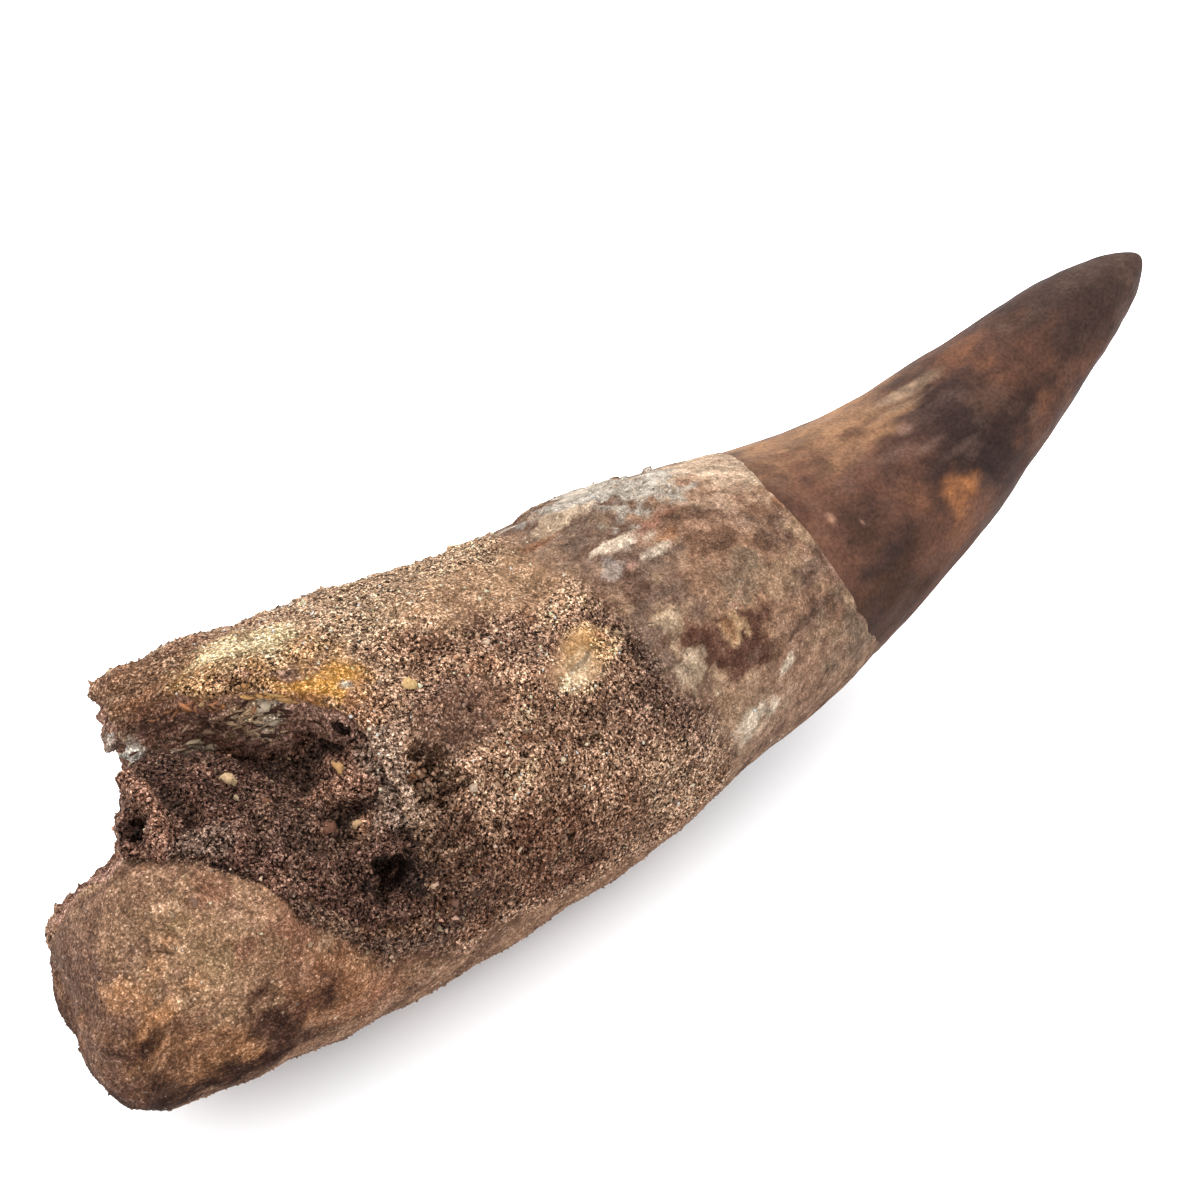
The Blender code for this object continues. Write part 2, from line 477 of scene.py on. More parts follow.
def breakCutter(lowShift, highShift, stepAt):
    # the broken face is moved along the tooth, by one amount below a step and another above it
    corner = Vector(breakShape["corner"])
    size = breakShape["size"]
    fall, run, rise = (Vector(breakShape[k]).normalized() for k in ("fall", "run", "rise"))
    sides = Matrix((fall, run, rise)).transposed()
    centre = corner + (fall + rise) * size / 2
    bm = bmesh.new()
    bmesh.ops.create_cube(bm, size=size, matrix=Matrix.Translation(centre) @ sides.to_4x4())
    bmesh.ops.subdivide_edges(bm, edges=bm.edges[:], cuts=breakShape["cuts"], use_grid_fill=True)
    cutter = carvingObject("breakCutter", bm)
    roughen(cutter, breakShape["roughness"], breakShape["lumps"], 11)
    points = objectPoints(cutter.data)
    height = (points - np.array(corner)) @ np.array(sides.inverted())[2]
    soft = breakShape["stepSoftness"]
    shift = lowShift + (highShift - lowShift) * ramp(height, stepAt - soft, stepAt + soft)
    setPoints(cutter.data, points + shift[:, None] * np.array(fall))
    return cutter


def windowCutter(name, grow=0.0):
    # sections of the opening joined along the tooth, smoothed, then roughened
    bm = bmesh.new()
    rings = []
    for x, top, bottom, depth in windowShape["rings"]:
        section = [(top + share * (bottom - top), over - inward * depth)
                   for share, over, inward in windowShape["section"]]
        rings.append([bm.verts.new(sectionPoint(x, radians(a), d)) for a, d in section])
    for low, high in zip(rings, rings[1:]):
        for i in range(len(low)):
            j = (i + 1) % len(low)
            bm.faces.new((low[i], low[j], high[j], high[i]))
    bm.faces.new(rings[0])
    bm.faces.new(rings[-1])
    cage = carvingObject(name, bm)
    cage.modifiers.new("smooth", "SUBSURF").levels = windowShape["smoothing"]
    even = cage.modifiers.new("even", "REMESH")      # clean faces carve well
    even.mode = "VOXEL"
    even.voxel_size = windowShape["faceSize"]
    depsgraph = bpy.context.evaluated_depsgraph_get()
    mesh = bpy.data.meshes.new_from_object(cage.evaluated_get(depsgraph), depsgraph=depsgraph)
    cage.modifiers.clear()
    cage.data = mesh
    roughen(cage, windowShape["roughness"], windowShape["lumps"], 23)
    if grow:
        normals = np.empty(len(mesh.vertices) * 3, np.float32)
        mesh.vertices.foreach_get("normal", normals)
        setPoints(mesh, objectPoints(mesh) + grow * normals.reshape(-1, 3))
    return cage


# the root

rootLook = {
    "faceSize": 0.34,
    "proud": 0.12,               # stands over the enamel's edge
    "lobeGrain": 0.31,           # how sandy the smooth parts look
    "neckGrain": 0.12,
    "wallGrain": 0.5,
    "edgeMiddle": 79.3,          # the enamel's lower edge is a leaning plane
    "edgeLean": 5.8,
    "edgeTurn": 28.0,
    "edgeRagged": 0.3,
    "wallShift": (-1.2, 0.9, 11.5),    # how far the break moves: low down, high up, and where it changes
    "columns": 160,
    "rings": 110,
    "endRings": (0, 0.0015, 0.004, 0.008, 0.013),      # closer rings round the blunt end, as shares
    "fullRings": 0.02,
    "rimWorn": (9, 4),           # the lobe's rim gets smoother between these distances
    "floorGap": 0.03,
    "borderWobble": 2.4,         # the borders wander by about this much
    # where the sand crust ends above the smooth lower lobe: distance, degrees
    "lobeBorder": [(0, 18), (8, 24), (11, 30), (12.6, 35), (14.9, 42), (16.8, 50), (17.7, 65), (18.7, 72),
                   (20.2, 78), (22.2, 85), (24.2, 92), (27.1, 96), (34, 99), (45, 105), (58, 112)],
    "farBorder": [(0, 10), (12, 40), (20, 85), (30, 120), (60, 128)],      # the same on the far side
    # where the crust gives way to the bare neck under the crown: degrees, distance
    "neckBorder": [(-180, 54), (-60, 54), (-20, 52.5), (10, 53), (28, 54.5), (45, 55), (60, 55), (72, 57),
                   (85, 57.5), (120, 57), (180, 54)],
    "colours": {
        "crust": (157, 118, 93), "crustTop": (176, 143, 114), "crustLow": (92, 55, 38),
        "tanStrip": (181, 144, 114), "cream": (236, 212, 168), "creamDull": (196, 165, 127),
        "ochre": (212, 153, 74), "gold": (170, 126, 80), "lobeBrown": (130, 94, 69), "rust": (150, 104, 74),
        "rustDark": (116, 76, 54), "purple": (92, 66, 57), "purpleDark": (72, 50, 43),
        "grey": (142, 118, 104), "bone": (200, 163, 127), "boneBright": (226, 200, 166),
        "boneOchre": (190, 146, 98), "orange": (170, 114, 78), "band": (124, 92, 77),
        "bandDark": (74, 49, 38), "lobe": (163, 125, 102), "lobeGrey": (116, 86, 72),
        "lobeTan": (188, 150, 116), "lobeRed": (150, 102, 80), "redBrown": (124, 78, 56),
        "lobeOrange": (200, 142, 98), "olive": (128, 104, 72), "maroon": (66, 38, 32),
        "lobeLow": (50, 27, 18), "rim": (168, 128, 104), "neck": (138, 110, 95),
        "neckBrown": (172, 132, 107), "neckDark": (98, 71, 57), "white": (218, 206, 190),
        "knob": (240, 234, 224), "whiteGrey": (212, 204, 193), "oval": (228, 208, 188),
        "slab": (214, 188, 162), "redStreak": (160, 108, 90), "pink": (196, 152, 138),
        "bluish": (190, 176, 170), "ringDark": (93, 60, 50), "ringPale": (214, 176, 138),
        "disc": (202, 178, 153), "flake": (222, 206, 186), "greyGreen": (138, 122, 104),
        "line": (78, 62, 54), "wall": (190, 146, 128), "wallDark": (112, 76, 66),
        "neckPale": (222, 194, 168), "neckLow": (164, 130, 110), "tan": (184, 152, 124),
        "smear": (92, 68, 56), "neckGrey": (140, 118, 104),
    },
    # named noises: size of the lumps, seed, layers, how far they are drawn out
    "noises": {
        "mottle": (4.0, 501, 4, 1.0), "fine": (1.3, 521, 3, 1.0), "drawn": (1.7, 531, 4, 0.35),
        "worn": (1.1, 561, 3, 1.0), "lobeTone": (0.7, 571, 2, 1.0), "neckTone": (0.7, 581, 2, 0.6),
    },
    # mottling, see mottled()
    "crustMix": [("crustLow", "mottle", 0.05, 0.6, 0.48), ("crustTop", "-mottle", 0.1, 0.7, 0.3)],
    "lobeMix": [("lobeLow", "mottle", 0.1, 0.6, 0.5), ("lobeTan", "fine", 0.1, 0.6, 0.35)],
    "neckMix": [
        ("neckBrown", "mottle", 0.0, 0.5, 0.6), ("neckDark", "fine", 0.05, 0.45, 0.65),
        ("tan", "-fine", 0.05, 0.45, 0.55), ("neckGrey", "drawn", 0.05, 0.5, 0.6),
        ("neckDark", "-drawn", 0.25, 0.7, 0.6),
    ],
    "wallMix": [
        ("wallDark", "depth", 1.6, 4.6, 0.5), ("wallDark", "-layers", 0.1, 0.6, 0.8),
        ("rustDark", "mottle", 0.1, 0.5, 0.5), ("grey", "layers", 0.35, 0.75, 0.7),
    ],
    "tone": 0.25,                # light and dark over the smooth parts
    "ragged": {"crust": 0.35, "lobe": 0.6, "neck": 0.5},       # edges of the patches
    "soft": {"crust": 0.35, "lobe": 0.8, "neck": 0.22},
    # colour, distance, degrees, half length, half width, turn, strength
    "patches": [
        ("crustTop", 42, -30, 16, 10, 0, 0.9), ("crustTop", 33, -6, 8, 4.0, 0, 0.85),
        ("tanStrip", 44, 3, 8, 3.4, 0, 0.95), ("tanStrip", 52, 12, 5, 3.4, 20, 0.7),
        ("crustLow", 34, 84, 9, 6, 0, 0.8), ("crustLow", 43, 90, 7, 4, 0, 0.6),
        ("crust", 53, 84, 4.5, 4.5, 0, 0.9), ("grey", 27.5, 44, 1.5, 4.5, 0, 0.65),
        ("grey", 29, 30, 2.5, 1.6, 0, 0.5), ("band", 34.5, 37, 4.5, 2.4, -8, 0.85),
        ("band", 42.5, 23, 3.0, 2.0, 20, 0.7), ("bandDark", 30.5, 68, 3.5, 4.2, 0, 0.55),
        ("bandDark", 28.5, 84, 5.0, 2.4, 0, 0.55), ("crust", 47, 56, 7, 5, 0, 0.5),
        ("crustTop", 53, 84, 4.5, 4.5, 0, 0.4), ("crust", 38.5, 25, 2.6, 1.6, 0, 0.9),
        ("orange", 39, 27, 1.8, 0.8, 0, 0.35),
        # the dark band in front of the neck
        ("band", 53.5, 34, 2.0, 4.0, 0, 0.75), ("bandDark", 53.6, 50, 1.9, 5.0, 0, 0.95),
        ("band", 55.5, 70, 2.3, 4.2, 0, 0.75), ("band", 50.5, 58, 3.0, 4.0, 0, 0.55),
        ("band", 50.5, 30, 3.0, 1.8, 30, 0.6),
        # the upper lobe
        ("purple", 18.3, -13, 3.2, 1.4, 0, 0.85), ("purple", 22.2, -1, 1.8, 0.7, 15, 0.7),
        ("lobeBrown", 18, -24, 6, 7, 0, 0.9), ("rustDark", 18, -10, 3.0, 1.2, 0, 0.5),
        ("rustDark", 20, -33, 5, 1.6, 0, 0.6), ("gold", 21.8, -6, 4.5, 2.8, 0, 0.8),
        ("gold", 26.5, 2, 3.6, 2.6, 0, 0.75), ("creamDull", 24.3, -12, 4.4, 2.4, 8, 0.85),
        ("cream", 26.2, -10, 2.4, 1.3, 10, 0.9), ("cream", 23.2, -11, 2.4, 1.2, 0, 0.85),
        ("cream", 28.0, -15, 1.6, 0.8, 0, 0.6), ("ochre", 27.4, 13, 3.0, 1.9, 0, 0.95),
        ("ochre", 25.0, 10, 2.0, 0.9, 30, 0.6), ("rust", 28.5, 24, 2.2, 1.5, 20, 0.8),
        ("orange", 24.5, 13, 1.9, 0.45, 40, 0.8), ("purple", 25.2, 5, 1.3, 0.7, 0, 0.85),
        ("rustDark", 22.3, 1, 1.6, 0.6, 30, 0.6), ("whiteGrey", 28.4, 16.5, 0.6, 0.35, 30, 0.8),
        ("orange", 18.5, -16, 3.5, 0.6, 0, 0.4),
        # bare bone in the crust
        ("bone", 46.8, 36.5, 3.5, 1.8, -22, 0.9), ("boneOchre", 47.6, 32.5, 2.8, 1.0, -20, 0.75),
        ("boneOchre", 48.8, 35.5, 1.6, 0.8, 0, 0.6), ("boneBright", 46.4, 38.0, 2.3, 0.35, -12, 0.85),
        ("boneBright", 45.0, 41.5, 1.5, 0.6, -12, 0.7), ("boneBright", 46.2, 35.5, 2.0, 0.15, -12, 0.6),
        ("boneOchre", 49.8, 35.0, 2.4, 1.2, -14, 0.85), ("bone", 51.6, 34.5, 1.3, 0.8, 0, 0.6),
        ("orange", 50.8, 33.5, 1.0, 0.5, 0, 0.7), ("line", 46.8, 37.2, 1.6, 0.2, -12, 0.6),
        ("bone", 39.6, 44.5, 1.4, 0.5, 0, 0.35), ("creamDull", 38, 58, 1.2, 0.8, 0, 0.4),
        # under the belly
        ("rim", 33, 104, 7, 1.6, 0, 0.75), ("rim", 45, 112, 12, 1.6, 0, 0.6),
        ("rim", 68, 112, 12, 2.0, 0, 0.6),
    ],
    "lobePatches": [
        ("lobeGrey", 5.5, 46, 3.6, 4.5, 0, 0.8), ("lobeTan", 10.5, 66, 4.6, 3.6, 0, 0.75),
        ("lobeTan", 9.5, 45, 3.4, 1.8, 0, 0.5), ("lobeGrey", 3.4, 48, 2.4, 4.0, 0, 0.7),
        ("redBrown", 6.5, 84, 5.0, 3.5, 0, 0.65), ("lobeRed", 13.2, 47, 1.4, 0.9, 0, 0.7),
        ("lobeRed", 17, 67, 2.6, 3.2, 0, 0.75), ("lobeOrange", 7.2, 70, 2.6, 2.6, 0, 0.9),
        ("olive", 10.4, 53, 1.0, 0.6, 0, 0.6), ("olive", 12.2, 65, 1.6, 1.1, 0, 0.65),
        ("olive", 14.5, 73, 1.6, 0.8, 0, 0.35), ("lobeTan", 12.6, 81, 1.8, 1.4, 0, 0.7),
        ("lobeTan", 14.5, 58, 3.2, 1.2, 0, 0.4), ("lobeOrange", 19.5, 91, 3.6, 3.2, 0, 0.85),
        ("redBrown", 24, 94, 4, 2.0, 0, 0.5), ("redBrown", 17, 90, 4.5, 4.0, 0, 0.6),
        ("maroon", 15.6, 89, 3.4, 2.2, -8, 0.72), ("maroon", 13.0, 96, 3.8, 2.4, 0, 0.7),
        ("maroon", 11, 102, 3.0, 1.7, 0, 0.65), ("lobeLow", 8, 106, 8, 4.2, 0, 0.95),
        ("lobeLow", 7, 96, 6.5, 3.0, 0, 0.7), ("lobeLow", 12, 101, 5.0, 2.6, 0, 0.5),
        ("lobeOrange", 8.5, 92, 2.4, 2.0, 0, 0.6), ("lobeLow", 5.5, 84, 2.6, 1.8, 0, 0.4),
        ("lobeLow", 5.5, 100, 5.0, 3.0, 0, 0.45), ("lobeOrange", 10.5, 96, 1.2, 0.8, 0, 0.7),
        ("purple", 2.6, 70, 1.7, 9, 0, 0.55), ("lobeGrey", 4.0, 62, 0.8, 3.6, 0, 0.7),
        ("lobeRed", 22.5, 104, 3.0, 2.0, 0, 0.6), ("rim", 16, 113, 6, 1.5, 0, 0.7),
        ("maroon", 16.5, 104, 1.6, 0.8, 0, 0.5), ("line", 8.6, 54, 0.45, 0.09, 50, 0.9),
        ("line", 9.2, 57, 0.35, 0.10, 20, 0.9),
    ],
    "neckPatches": [
        ("whiteGrey", 62, -24, 6.5, 5.0, 0, 0.9), ("white", 61, -30, 3.0, 2.2, 0, 0.8),
        ("slab", 57.0, -13, 3.2, 1.1, 0, 0.95), ("orange", 53.6, -9, 3.2, 0.5, 0, 0.6),
        ("neckPale", 72, -12, 5.5, 6.0, 0, 0.85), ("neckPale", 61, 86, 4.2, 3.4, 0, 0.9),
        ("neckBrown", 67, 10, 5.5, 4.0, 0, 0.6), ("neckBrown", 65.5, 32, 4.5, 2.6, 0, 0.7),
        ("neckBrown", 66, 56, 6.0, 7.0, 0, 0.65), ("neckLow", 67, 92, 9, 5.0, 0, 0.8),
        ("tan", 60.5, 73, 2.4, 2.6, 0, 0.75), ("oval", 58.3, 9.3, 3.0, 0.8, -6, 1.0),
        ("oval", 60.2, 18, 1.3, 0.45, -8, 0.95), ("redStreak", 62.4, 6.5, 1.8, 0.45, -10, 0.65),
        ("redStreak", 60.4, 8.8, 0.7, 0.35, 0, 0.6), ("neckDark", 64.3, 9, 2.2, 1.1, -10, 0.8),
        ("orange", 61.8, 15, 0.9, 0.5, 0, 0.6), ("neckDark", 64.2, 24, 2.2, 1.1, 0, 0.8),
        ("neckDark", 66.6, 14, 1.5, 0.8, 20, 0.6), ("bluish", 56.4, 17, 1.0, 0.7, 0, 0.7),
        ("pink", 58.0, 19, 0.6, 0.4, 0, 0.8), ("tan", 62.6, 36, 2.4, 1.4, 0, 0.2),
        ("greyGreen", 65.2, 38, 2.2, 1.6, 0, 0.7), ("neckDark", 63.5, 35, 2.4, 1.2, 10, 0.4),
        ("tan", 67.4, 44, 2.0, 1.3, 0, 0.7), ("neckDark", 68.8, 31, 1.3, 0.9, 0, 0.75),
        ("line", 68.4, 66, 2.4, 0.5, -10, 0.7), ("line", 72.6, 62, 1.2, 0.5, 0, 0.5),
        ("neckDark", 63.5, 66, 2.2, 1.0, 0, 0.5), ("tan", 73.2, 34, 1.4, 1.3, 0, 0.8),
        ("orange", 73.3, 19.5, 0.8, 0.6, 0, 0.5), ("pink", 74.2, 55, 0.9, 1.0, 0, 0.6),
        ("neckDark", 70.5, 20, 2.6, 1.0, 10, 0.5), ("neckDark", 70.5, 70, 2.8, 2.4, 0, 0.35),
        ("greyGreen", 73.5, 84, 3.0, 3.0, 0, 0.5), ("tan", 70, 76, 2.0, 1.0, 0, 0.5),
        ("ringDark", 61.3, 55, 2.8, 2.7, 0, 0.9), ("ringPale", 61.9, 52.5, 0.4, 1.3, 12, 0.85),
        ("ringPale", 61.2, 54, 0.35, 1.1, -8, 0.8), ("ringPale", 62.6, 55, 0.3, 0.9, 0, 0.75),
        ("purple", 61.6, 51, 0.2, 0.5, 0, 0.6), ("orange", 61.4, 53, 0.35, 0.9, 0, 0.5),
        ("tan", 57.2, 42, 1.7, 1.9, 0, 0.95), ("disc", 57.0, 42.5, 1.3, 1.4, 0, 0.6),
        ("neckDark", 57.3, 56, 2.0, 2.2, 0, 0.55), ("disc", 56.9, 56, 1.5, 1.6, 0, 0.95),
        ("line", 55.6, 51, 0.12, 0.12, 0, 0.9), ("flake", 65.4, 76.5, 1.1, 0.6, -30, 0.9),
        ("flake", 60.4, 86, 1.6, 0.8, 0, 0.9), ("flake", 62.8, 89, 1.0, 0.6, -20, 0.8),
        ("line", 59.9, 82, 1.2, 0.12, 10, 0.7), ("flake", 59.6, 92, 1.0, 0.9, 0, 0.7),
    ],
    # on the broken wall: colour, distance, millimetres under the skin, half length, half depth, strength
    "wallPatches": [
        ("ochre", 23.8, 0.8, 1.6, 0.35, 0.8), ("rustDark", 19.0, 1.2, 3.0, 0.5, 0.7),
        ("purpleDark", 18.0, 2.2, 3.0, 0.5, 0.6), ("rust", 20.6, 1.3, 0.6, 0.35, 0.6),
        ("flake", 23.3, 1.6, 1.1, 0.4, 0.7), ("creamDull", 22.7, 2.6, 1.5, 0.7, 0.7),
        ("flake", 23.3, 3.3, 0.9, 0.5, 0.7), ("creamDull", 22.4, 4.6, 1.3, 0.4, 0.6),
        ("flake", 19.6, 5.3, 0.8, 0.2, 0.7), ("flake", 16.8, 4.9, 2.2, 0.35, 0.8),
        ("purpleDark", 20.5, 3.4, 1.6, 0.3, 0.6), ("knob", 15.2, 3.4, 1.0, 1.2, 0.95),
        # the line colour on the knob is painted shade standing for a small hole in it
        ("line", 15.5, 3.5, 0.3, 0.35, 0.95), ("creamDull", 14.4, 3.2, 0.4, 0.9, 0.6),
    ],
    # lumps of the skin in millimetres: where, size, height, drawn out, seed, layers
    "lumps": [
        ("all", 8.0, 0.45, 1.0, 611, 3), ("crust", 2.2, 0.30, 1.0, 621, 3),
        ("crust", 0.8, 0.12, 1.0, 631, 2), ("crust", 0.42, 0.09, 1.0, 635, 1),
        ("lobe", 2.6, 0.16, 1.0, 641, 4), ("neck", 1.6, 0.14, 0.4, 651, 4),
    ],
    # the far top corner, the heel and the flatter back: distance, degrees, half length, half width, height
    "swells": [(17.0, -40, 3.4, 5.8, 0.9), (2.6, 92, 2.4, 3.0, 0.4), (44, -35, 8, 8, -0.6)],
    # raised and sunk marks: height, distance, degrees, half length, half width, turn, ragged, soft
    "marks": [
        (0.35, 27.6, 44, 1.4, 4.6),                      # the grey ridge by the window
        (0.30, 46.8, 36.5, 3.4, 1.8, -22), (-0.15, 46.6, 38.8, 2.6, 0.3, -8),      # bare bone
        (0.55, 60.5, -26, 4.5, 6.5, 0, 0.5, 0.25),       # the thick white crust on top of the neck
        (0.30, 58.3, 9.3, 2.8, 0.85, -6, 0.3, 0.25), (0.2, 60.2, 18, 1.3, 0.45, -8),
        (0.25, 62.2, 53.5, 1.3, 1.3), (-0.25, 61.3, 54, 2.9, 2.7), (0.2, 56.9, 56, 1.5, 1.6),
        (0.25, 60.4, 87, 2.4, 1.6, 0, 0.4, 0.2), (0.2, 65.4, 76.5, 1.1, 0.6),
        # the lower lobe: a faint ridge where its end begins, a notch and a crack
        (0.35, 4.4, 72, 0.9, 7.0, 12), (-0.35, 3.0, 60, 0.8, 3.0), (-0.7, 2.2, 53, 0.7, 0.8),
        (-0.35, 8.8, 55.5, 0.9, 0.16, 40),
    ],
    # crumbly pits beside the window, and how deep the whole place and its pits are
    "cluster": (31.1, 48.5, 2.1, 2.2, 0, 0.25, 0.1),
    "clusterDepths": (1.5, 1.2),
    # pits all over the crust: spacing, seed, share, reach, depth, whether they get painted shade
    "scatteredPits": [
        (3.2, 671, (0.70, 0.78), (0.20, 0.08), 0.6, 1),
        (1.3, 675, (0.62, 0.8), (0.42, 0.15), 0.35, 0),
    ],
    "pits": [(43.5, 58, 0.35, 0.7), (34, 67, 0.4, 0.7), (38, 54, 0.3, 0.6), (36, 36, 0.3, 0.5)],
    "hollow": (28.2, 72, 3.0, 3.2),      # coarse ground round the deep hole
    "hollowDepth": 0.9,
    "shoulderDrop": 0.75,        # the lobe's edge rounds down to the sandstone
    "shoulderWidth": 1.7,
    "knob": (15.2, 3.4, 1.1, 1.2),       # pale, on the wall: distance, depth, half length, half depth
    # places with less sand: distance, degrees, half length, half width, turn, how much less
    "thinSand": [
        (44, 3, 9, 3.4, 0, 0.6), (51, -2, 3.5, 4.0, 0, 0.5), (46.8, 36.5, 3.4, 1.8, -22, 0.85),
        (34.5, 37, 4.2, 2.2, -8, 0.5), (27.6, 13, 3.0, 2.0, 0, 0.6), (24.6, -12, 5.0, 2.8, 0, 0.45),
        (17.5, -24, 4, 5, 0, 0.4),
    ],
}


def enamelEdge(angle):
    # the enamel's edge, a little ragged
    turned = np.stack([np.cos(angle), np.sin(angle), 0 * angle], -1) * 12
    ragged = rootLook["edgeRagged"] * roughness(turned.reshape(-1, 3), 3.0, 5, 4).reshape(np.shape(angle))
    lean = rootLook["edgeLean"] * np.cos(angle - radians(rootLook["edgeTurn"]))
    return rootLook["edgeMiddle"] - lean + ragged


def rootBody():
    # the whole root up to the enamel's edge, before it is broken
    angle = np.linspace(0, 2 * pi, rootLook["columns"], endpoint=False)
    share = np.concatenate([rootLook["endRings"], np.linspace(rootLook["fullRings"], 1, rootLook["rings"])])
    x = share[:, None] * enamelEdge(angle)[None, :]
    rings = sectionPoint(x, angle[None, :], rootLook["proud"], rounded=True)
    return closedLoft("rootBody", leaned(rings))


def roundFrom(along, angle, border):
    # millimetres round the tooth from a border that is given in degrees
    return np.radians(angle - onLine(along, border)) * skinRadius


def borders(along, angle, points):
    # how far each place belongs to the smooth lobe and to the bare neck
    wobble = rootLook["borderWobble"] * roughness(points, 5.0, 301, 4)
    below = roundFrom(along, np.abs(angle), rootLook["lobeBorder"])
    farBelow = roundFrom(along, np.abs(angle), rootLook["farBorder"])
    lobe = np.where(angle > 0, ramp(below + 0.7 * wobble, -0.2, 1.7), ramp(farBelow + wobble, -0.8, 0.8))
    neck = ramp(along - onLine(angle, rootLook["neckBorder"]) + 0.9 * wobble, -2.2, 1.7)
    return lobe * (1 - neck), neck


def wallColours(along, angle, depth, warp, noises):
    # broken walls: dark dentine in layers, with pale flakes along them
    colours = rootLook["colours"]
    layers = roughness(np.stack([along * 0.25, depth * 2.2 + 0.5 * warp[:, 0], angle * 0.04], 1), 1.0, 541, 3)
    flakes = roughness(np.stack([along * 0.5, depth * 1.6 + 0.4 * warp[:, 0], angle * 0.05], 1), 1.3, 551, 3)
    wall = ground("wall", rootLook["wallMix"], colours, {**noises, "layers": layers, "depth": depth})
    wall = mixed(wall, colour(*colours["creamDull"]), ramp(flakes, 0.35, 0.7) * ramp(depth, 4.6, 2.0) * 0.6)
    wall = mixed(wall, colour(*colours["bandDark"]) * 0.6, ramp(angle, 36, 50))
    wall = mixed(wall, colour(*colours["rustDark"]), 0.7 * ramp(np.abs(angle), 45, 80) * ramp(along, 22, 18))
    near = ramp(np.abs(angle - onLine(along, windowShape["lip"])), 45, 35)
    for name, x, under, length, thick, strength in rootLook["wallPatches"]:
        u = (along - x) / length + 0.2 * warp[:, 0]
        v = (depth - under) / thick + 0.5 * warp[:, 1]
        wall = mixed(wall, colour(*colours[name]), ramp(np.hypot(u, v), 1.3, 0.7) * strength * near)
    return wall


def rootColours(points, along, angle, depth, lobe, neck):
    colours = rootLook["colours"]
    warp = rimWarp(points, 401)
    noises = noiseSet(points, rootLook["noises"])
    worn = 0.75 + 0.25 * ramp(noises["worn"], -0.35, 0.15)      # breaks up the patches

    def patched(base, mix, patches):
        plain = ground(base, rootLook[mix], colours, noises)
        return paintPatches(plain, along, angle, warp, rootLook[patches], colours,
                            rootLook["ragged"][base], rootLook["soft"][base], worn)

    crust = patched("crust", "crustMix", "patches")
    # dark sandstone is smeared over the window's lower rim
    fromBorder = roundFrom(along, angle, rootLook["lobeBorder"])
    smear = ramp(np.abs(fromBorder + warp[:, 0]), 3.0, 1.2) * ramp(along, 31, 26)
    crust = mixed(crust, colour(*colours["smear"]), smear * ramp(along, 6, 9) * 0.85)
    smooth = patched("lobe", "lobeMix", "lobePatches") * (1 + rootLook["tone"] * noises["lobeTone"])[:, None]
    bare = patched("neck", "neckMix", "neckPatches") * (1 + rootLook["tone"] * noises["neckTone"])[:, None]
    paint = mixed(mixed(crust, smooth, lobe), bare, neck)
    wall = wallColours(along, angle, depth, warp, noises)
    return mixed(paint, wall, ramp(depth + 0.3 * warp[:, 0], 0.35, 0.95))


def rootRelief(points, along, angle, depth, lobe, neck):
    # how far each point of the root's skin moves out, in millimetres
    warp = rimWarp(points, 601)
    outer = ramp(depth, 0.6, 0.3)
    crust = outer * (1 - lobe) * (1 - neck)
    parts = {"all": 1 - 0.6 * neck, "crust": crust, "lobe": lobe * outer, "neck": neck * outer}

    def at(*place):
        return softOval(along, angle, warp, *place) * outer

    height = np.zeros(len(points))
    for part, size, high, drawn, seed, layers in rootLook["lumps"]:
        height += parts[part] * high * roughness(points * [drawn, 1, 1], size, seed, layers)
    for x, a, wide, tall, high in rootLook["swells"]:
        away = np.hypot((along - x) / wide, np.radians(angle - a) * skinRadius / tall)
        height += outer * high * ramp(away, 1.2, 0.2)
    for high, *place in rootLook["marks"]:
        height += high * at(*place)
    away, shade = crumbs(points + 0.5 * np.column_stack([warp, warp[:, 0]]), 0.8, 661)
    cluster = at(*rootLook["cluster"])
    pits = cluster * ramp(shade, 0.3, 0.5) * ramp(away, 0.75, 0.35)
    whole, deeper = rootLook["clusterDepths"]
    height -= cluster * whole + deeper * pits
    pits = np.maximum(pits, 0.7 * cluster)
    for spacing, seed, share, reach, deep, dark in rootLook["scatteredPits"]:
        away, shade = crumbs(points, spacing, seed)
        pit = crust * ramp(shade, *share) * ramp(away, *reach)
        height -= deep * pit
        pits = np.maximum(pits, dark * pit)
    for x, a, wide, deep in rootLook["pits"]:
        pit = at(x, a, wide, wide)
        height -= deep * pit
        pits = np.maximum(pits, pit)
    height -= rootLook["hollowDepth"] * at(*rootLook["hollow"]) * (0.6 + roughness(points, 1.0, 681, 2))
    fromBorder = roundFrom(along, angle, rootLook["lobeBorder"])
    shoulder = np.exp(-(fromBorder / rootLook["shoulderWidth"]) ** 2)
    shoulder = shoulder * ramp(along, 32, 25) * ramp(fromBorder, -1.5, 0)
    height -= outer * rootLook["shoulderDrop"] * shoulder
    # broken walls step in layers
    steps = np.sin(depth * 5.5 + 2.0 * roughness(points, 2.0, 691, 3) + along * 0.4)
    height += ramp(depth, 0.5, 0.9) * (0.22 * steps + 0.45 * roughness(points, 1.3, 701, 4))
    x, under, length, thick = rootLook["knob"]
    knob = ramp(np.hypot((along - x) / length, (depth - under) / thick), 1.0, 0.2)
    height += knob * (0.9 + 0.5 * roughness(points, 0.9, 711, 2))
    # the crust's small lumps once more, used only to paint shade into the hollows and light onto the lumps
    fine = crust * (0.35 * roughness(points, 2.2, 621, 3) + 0.15 * roughness(points, 0.8, 631, 2))
    return height, pits, fine


def rootSand(along, angle, warp, depth, lobe, neck):
    # how much of the skin is covered with grains
    sand = (1 - lobe) * (1 - neck) * ramp(depth, 0.7, 0.3)
    for x, a, length, width, turn, less in rootLook["thinSand"]:
        sand = sand * (1 - less * ellipse(along, angle, warp, x, a, length, width, turn))
    return sand


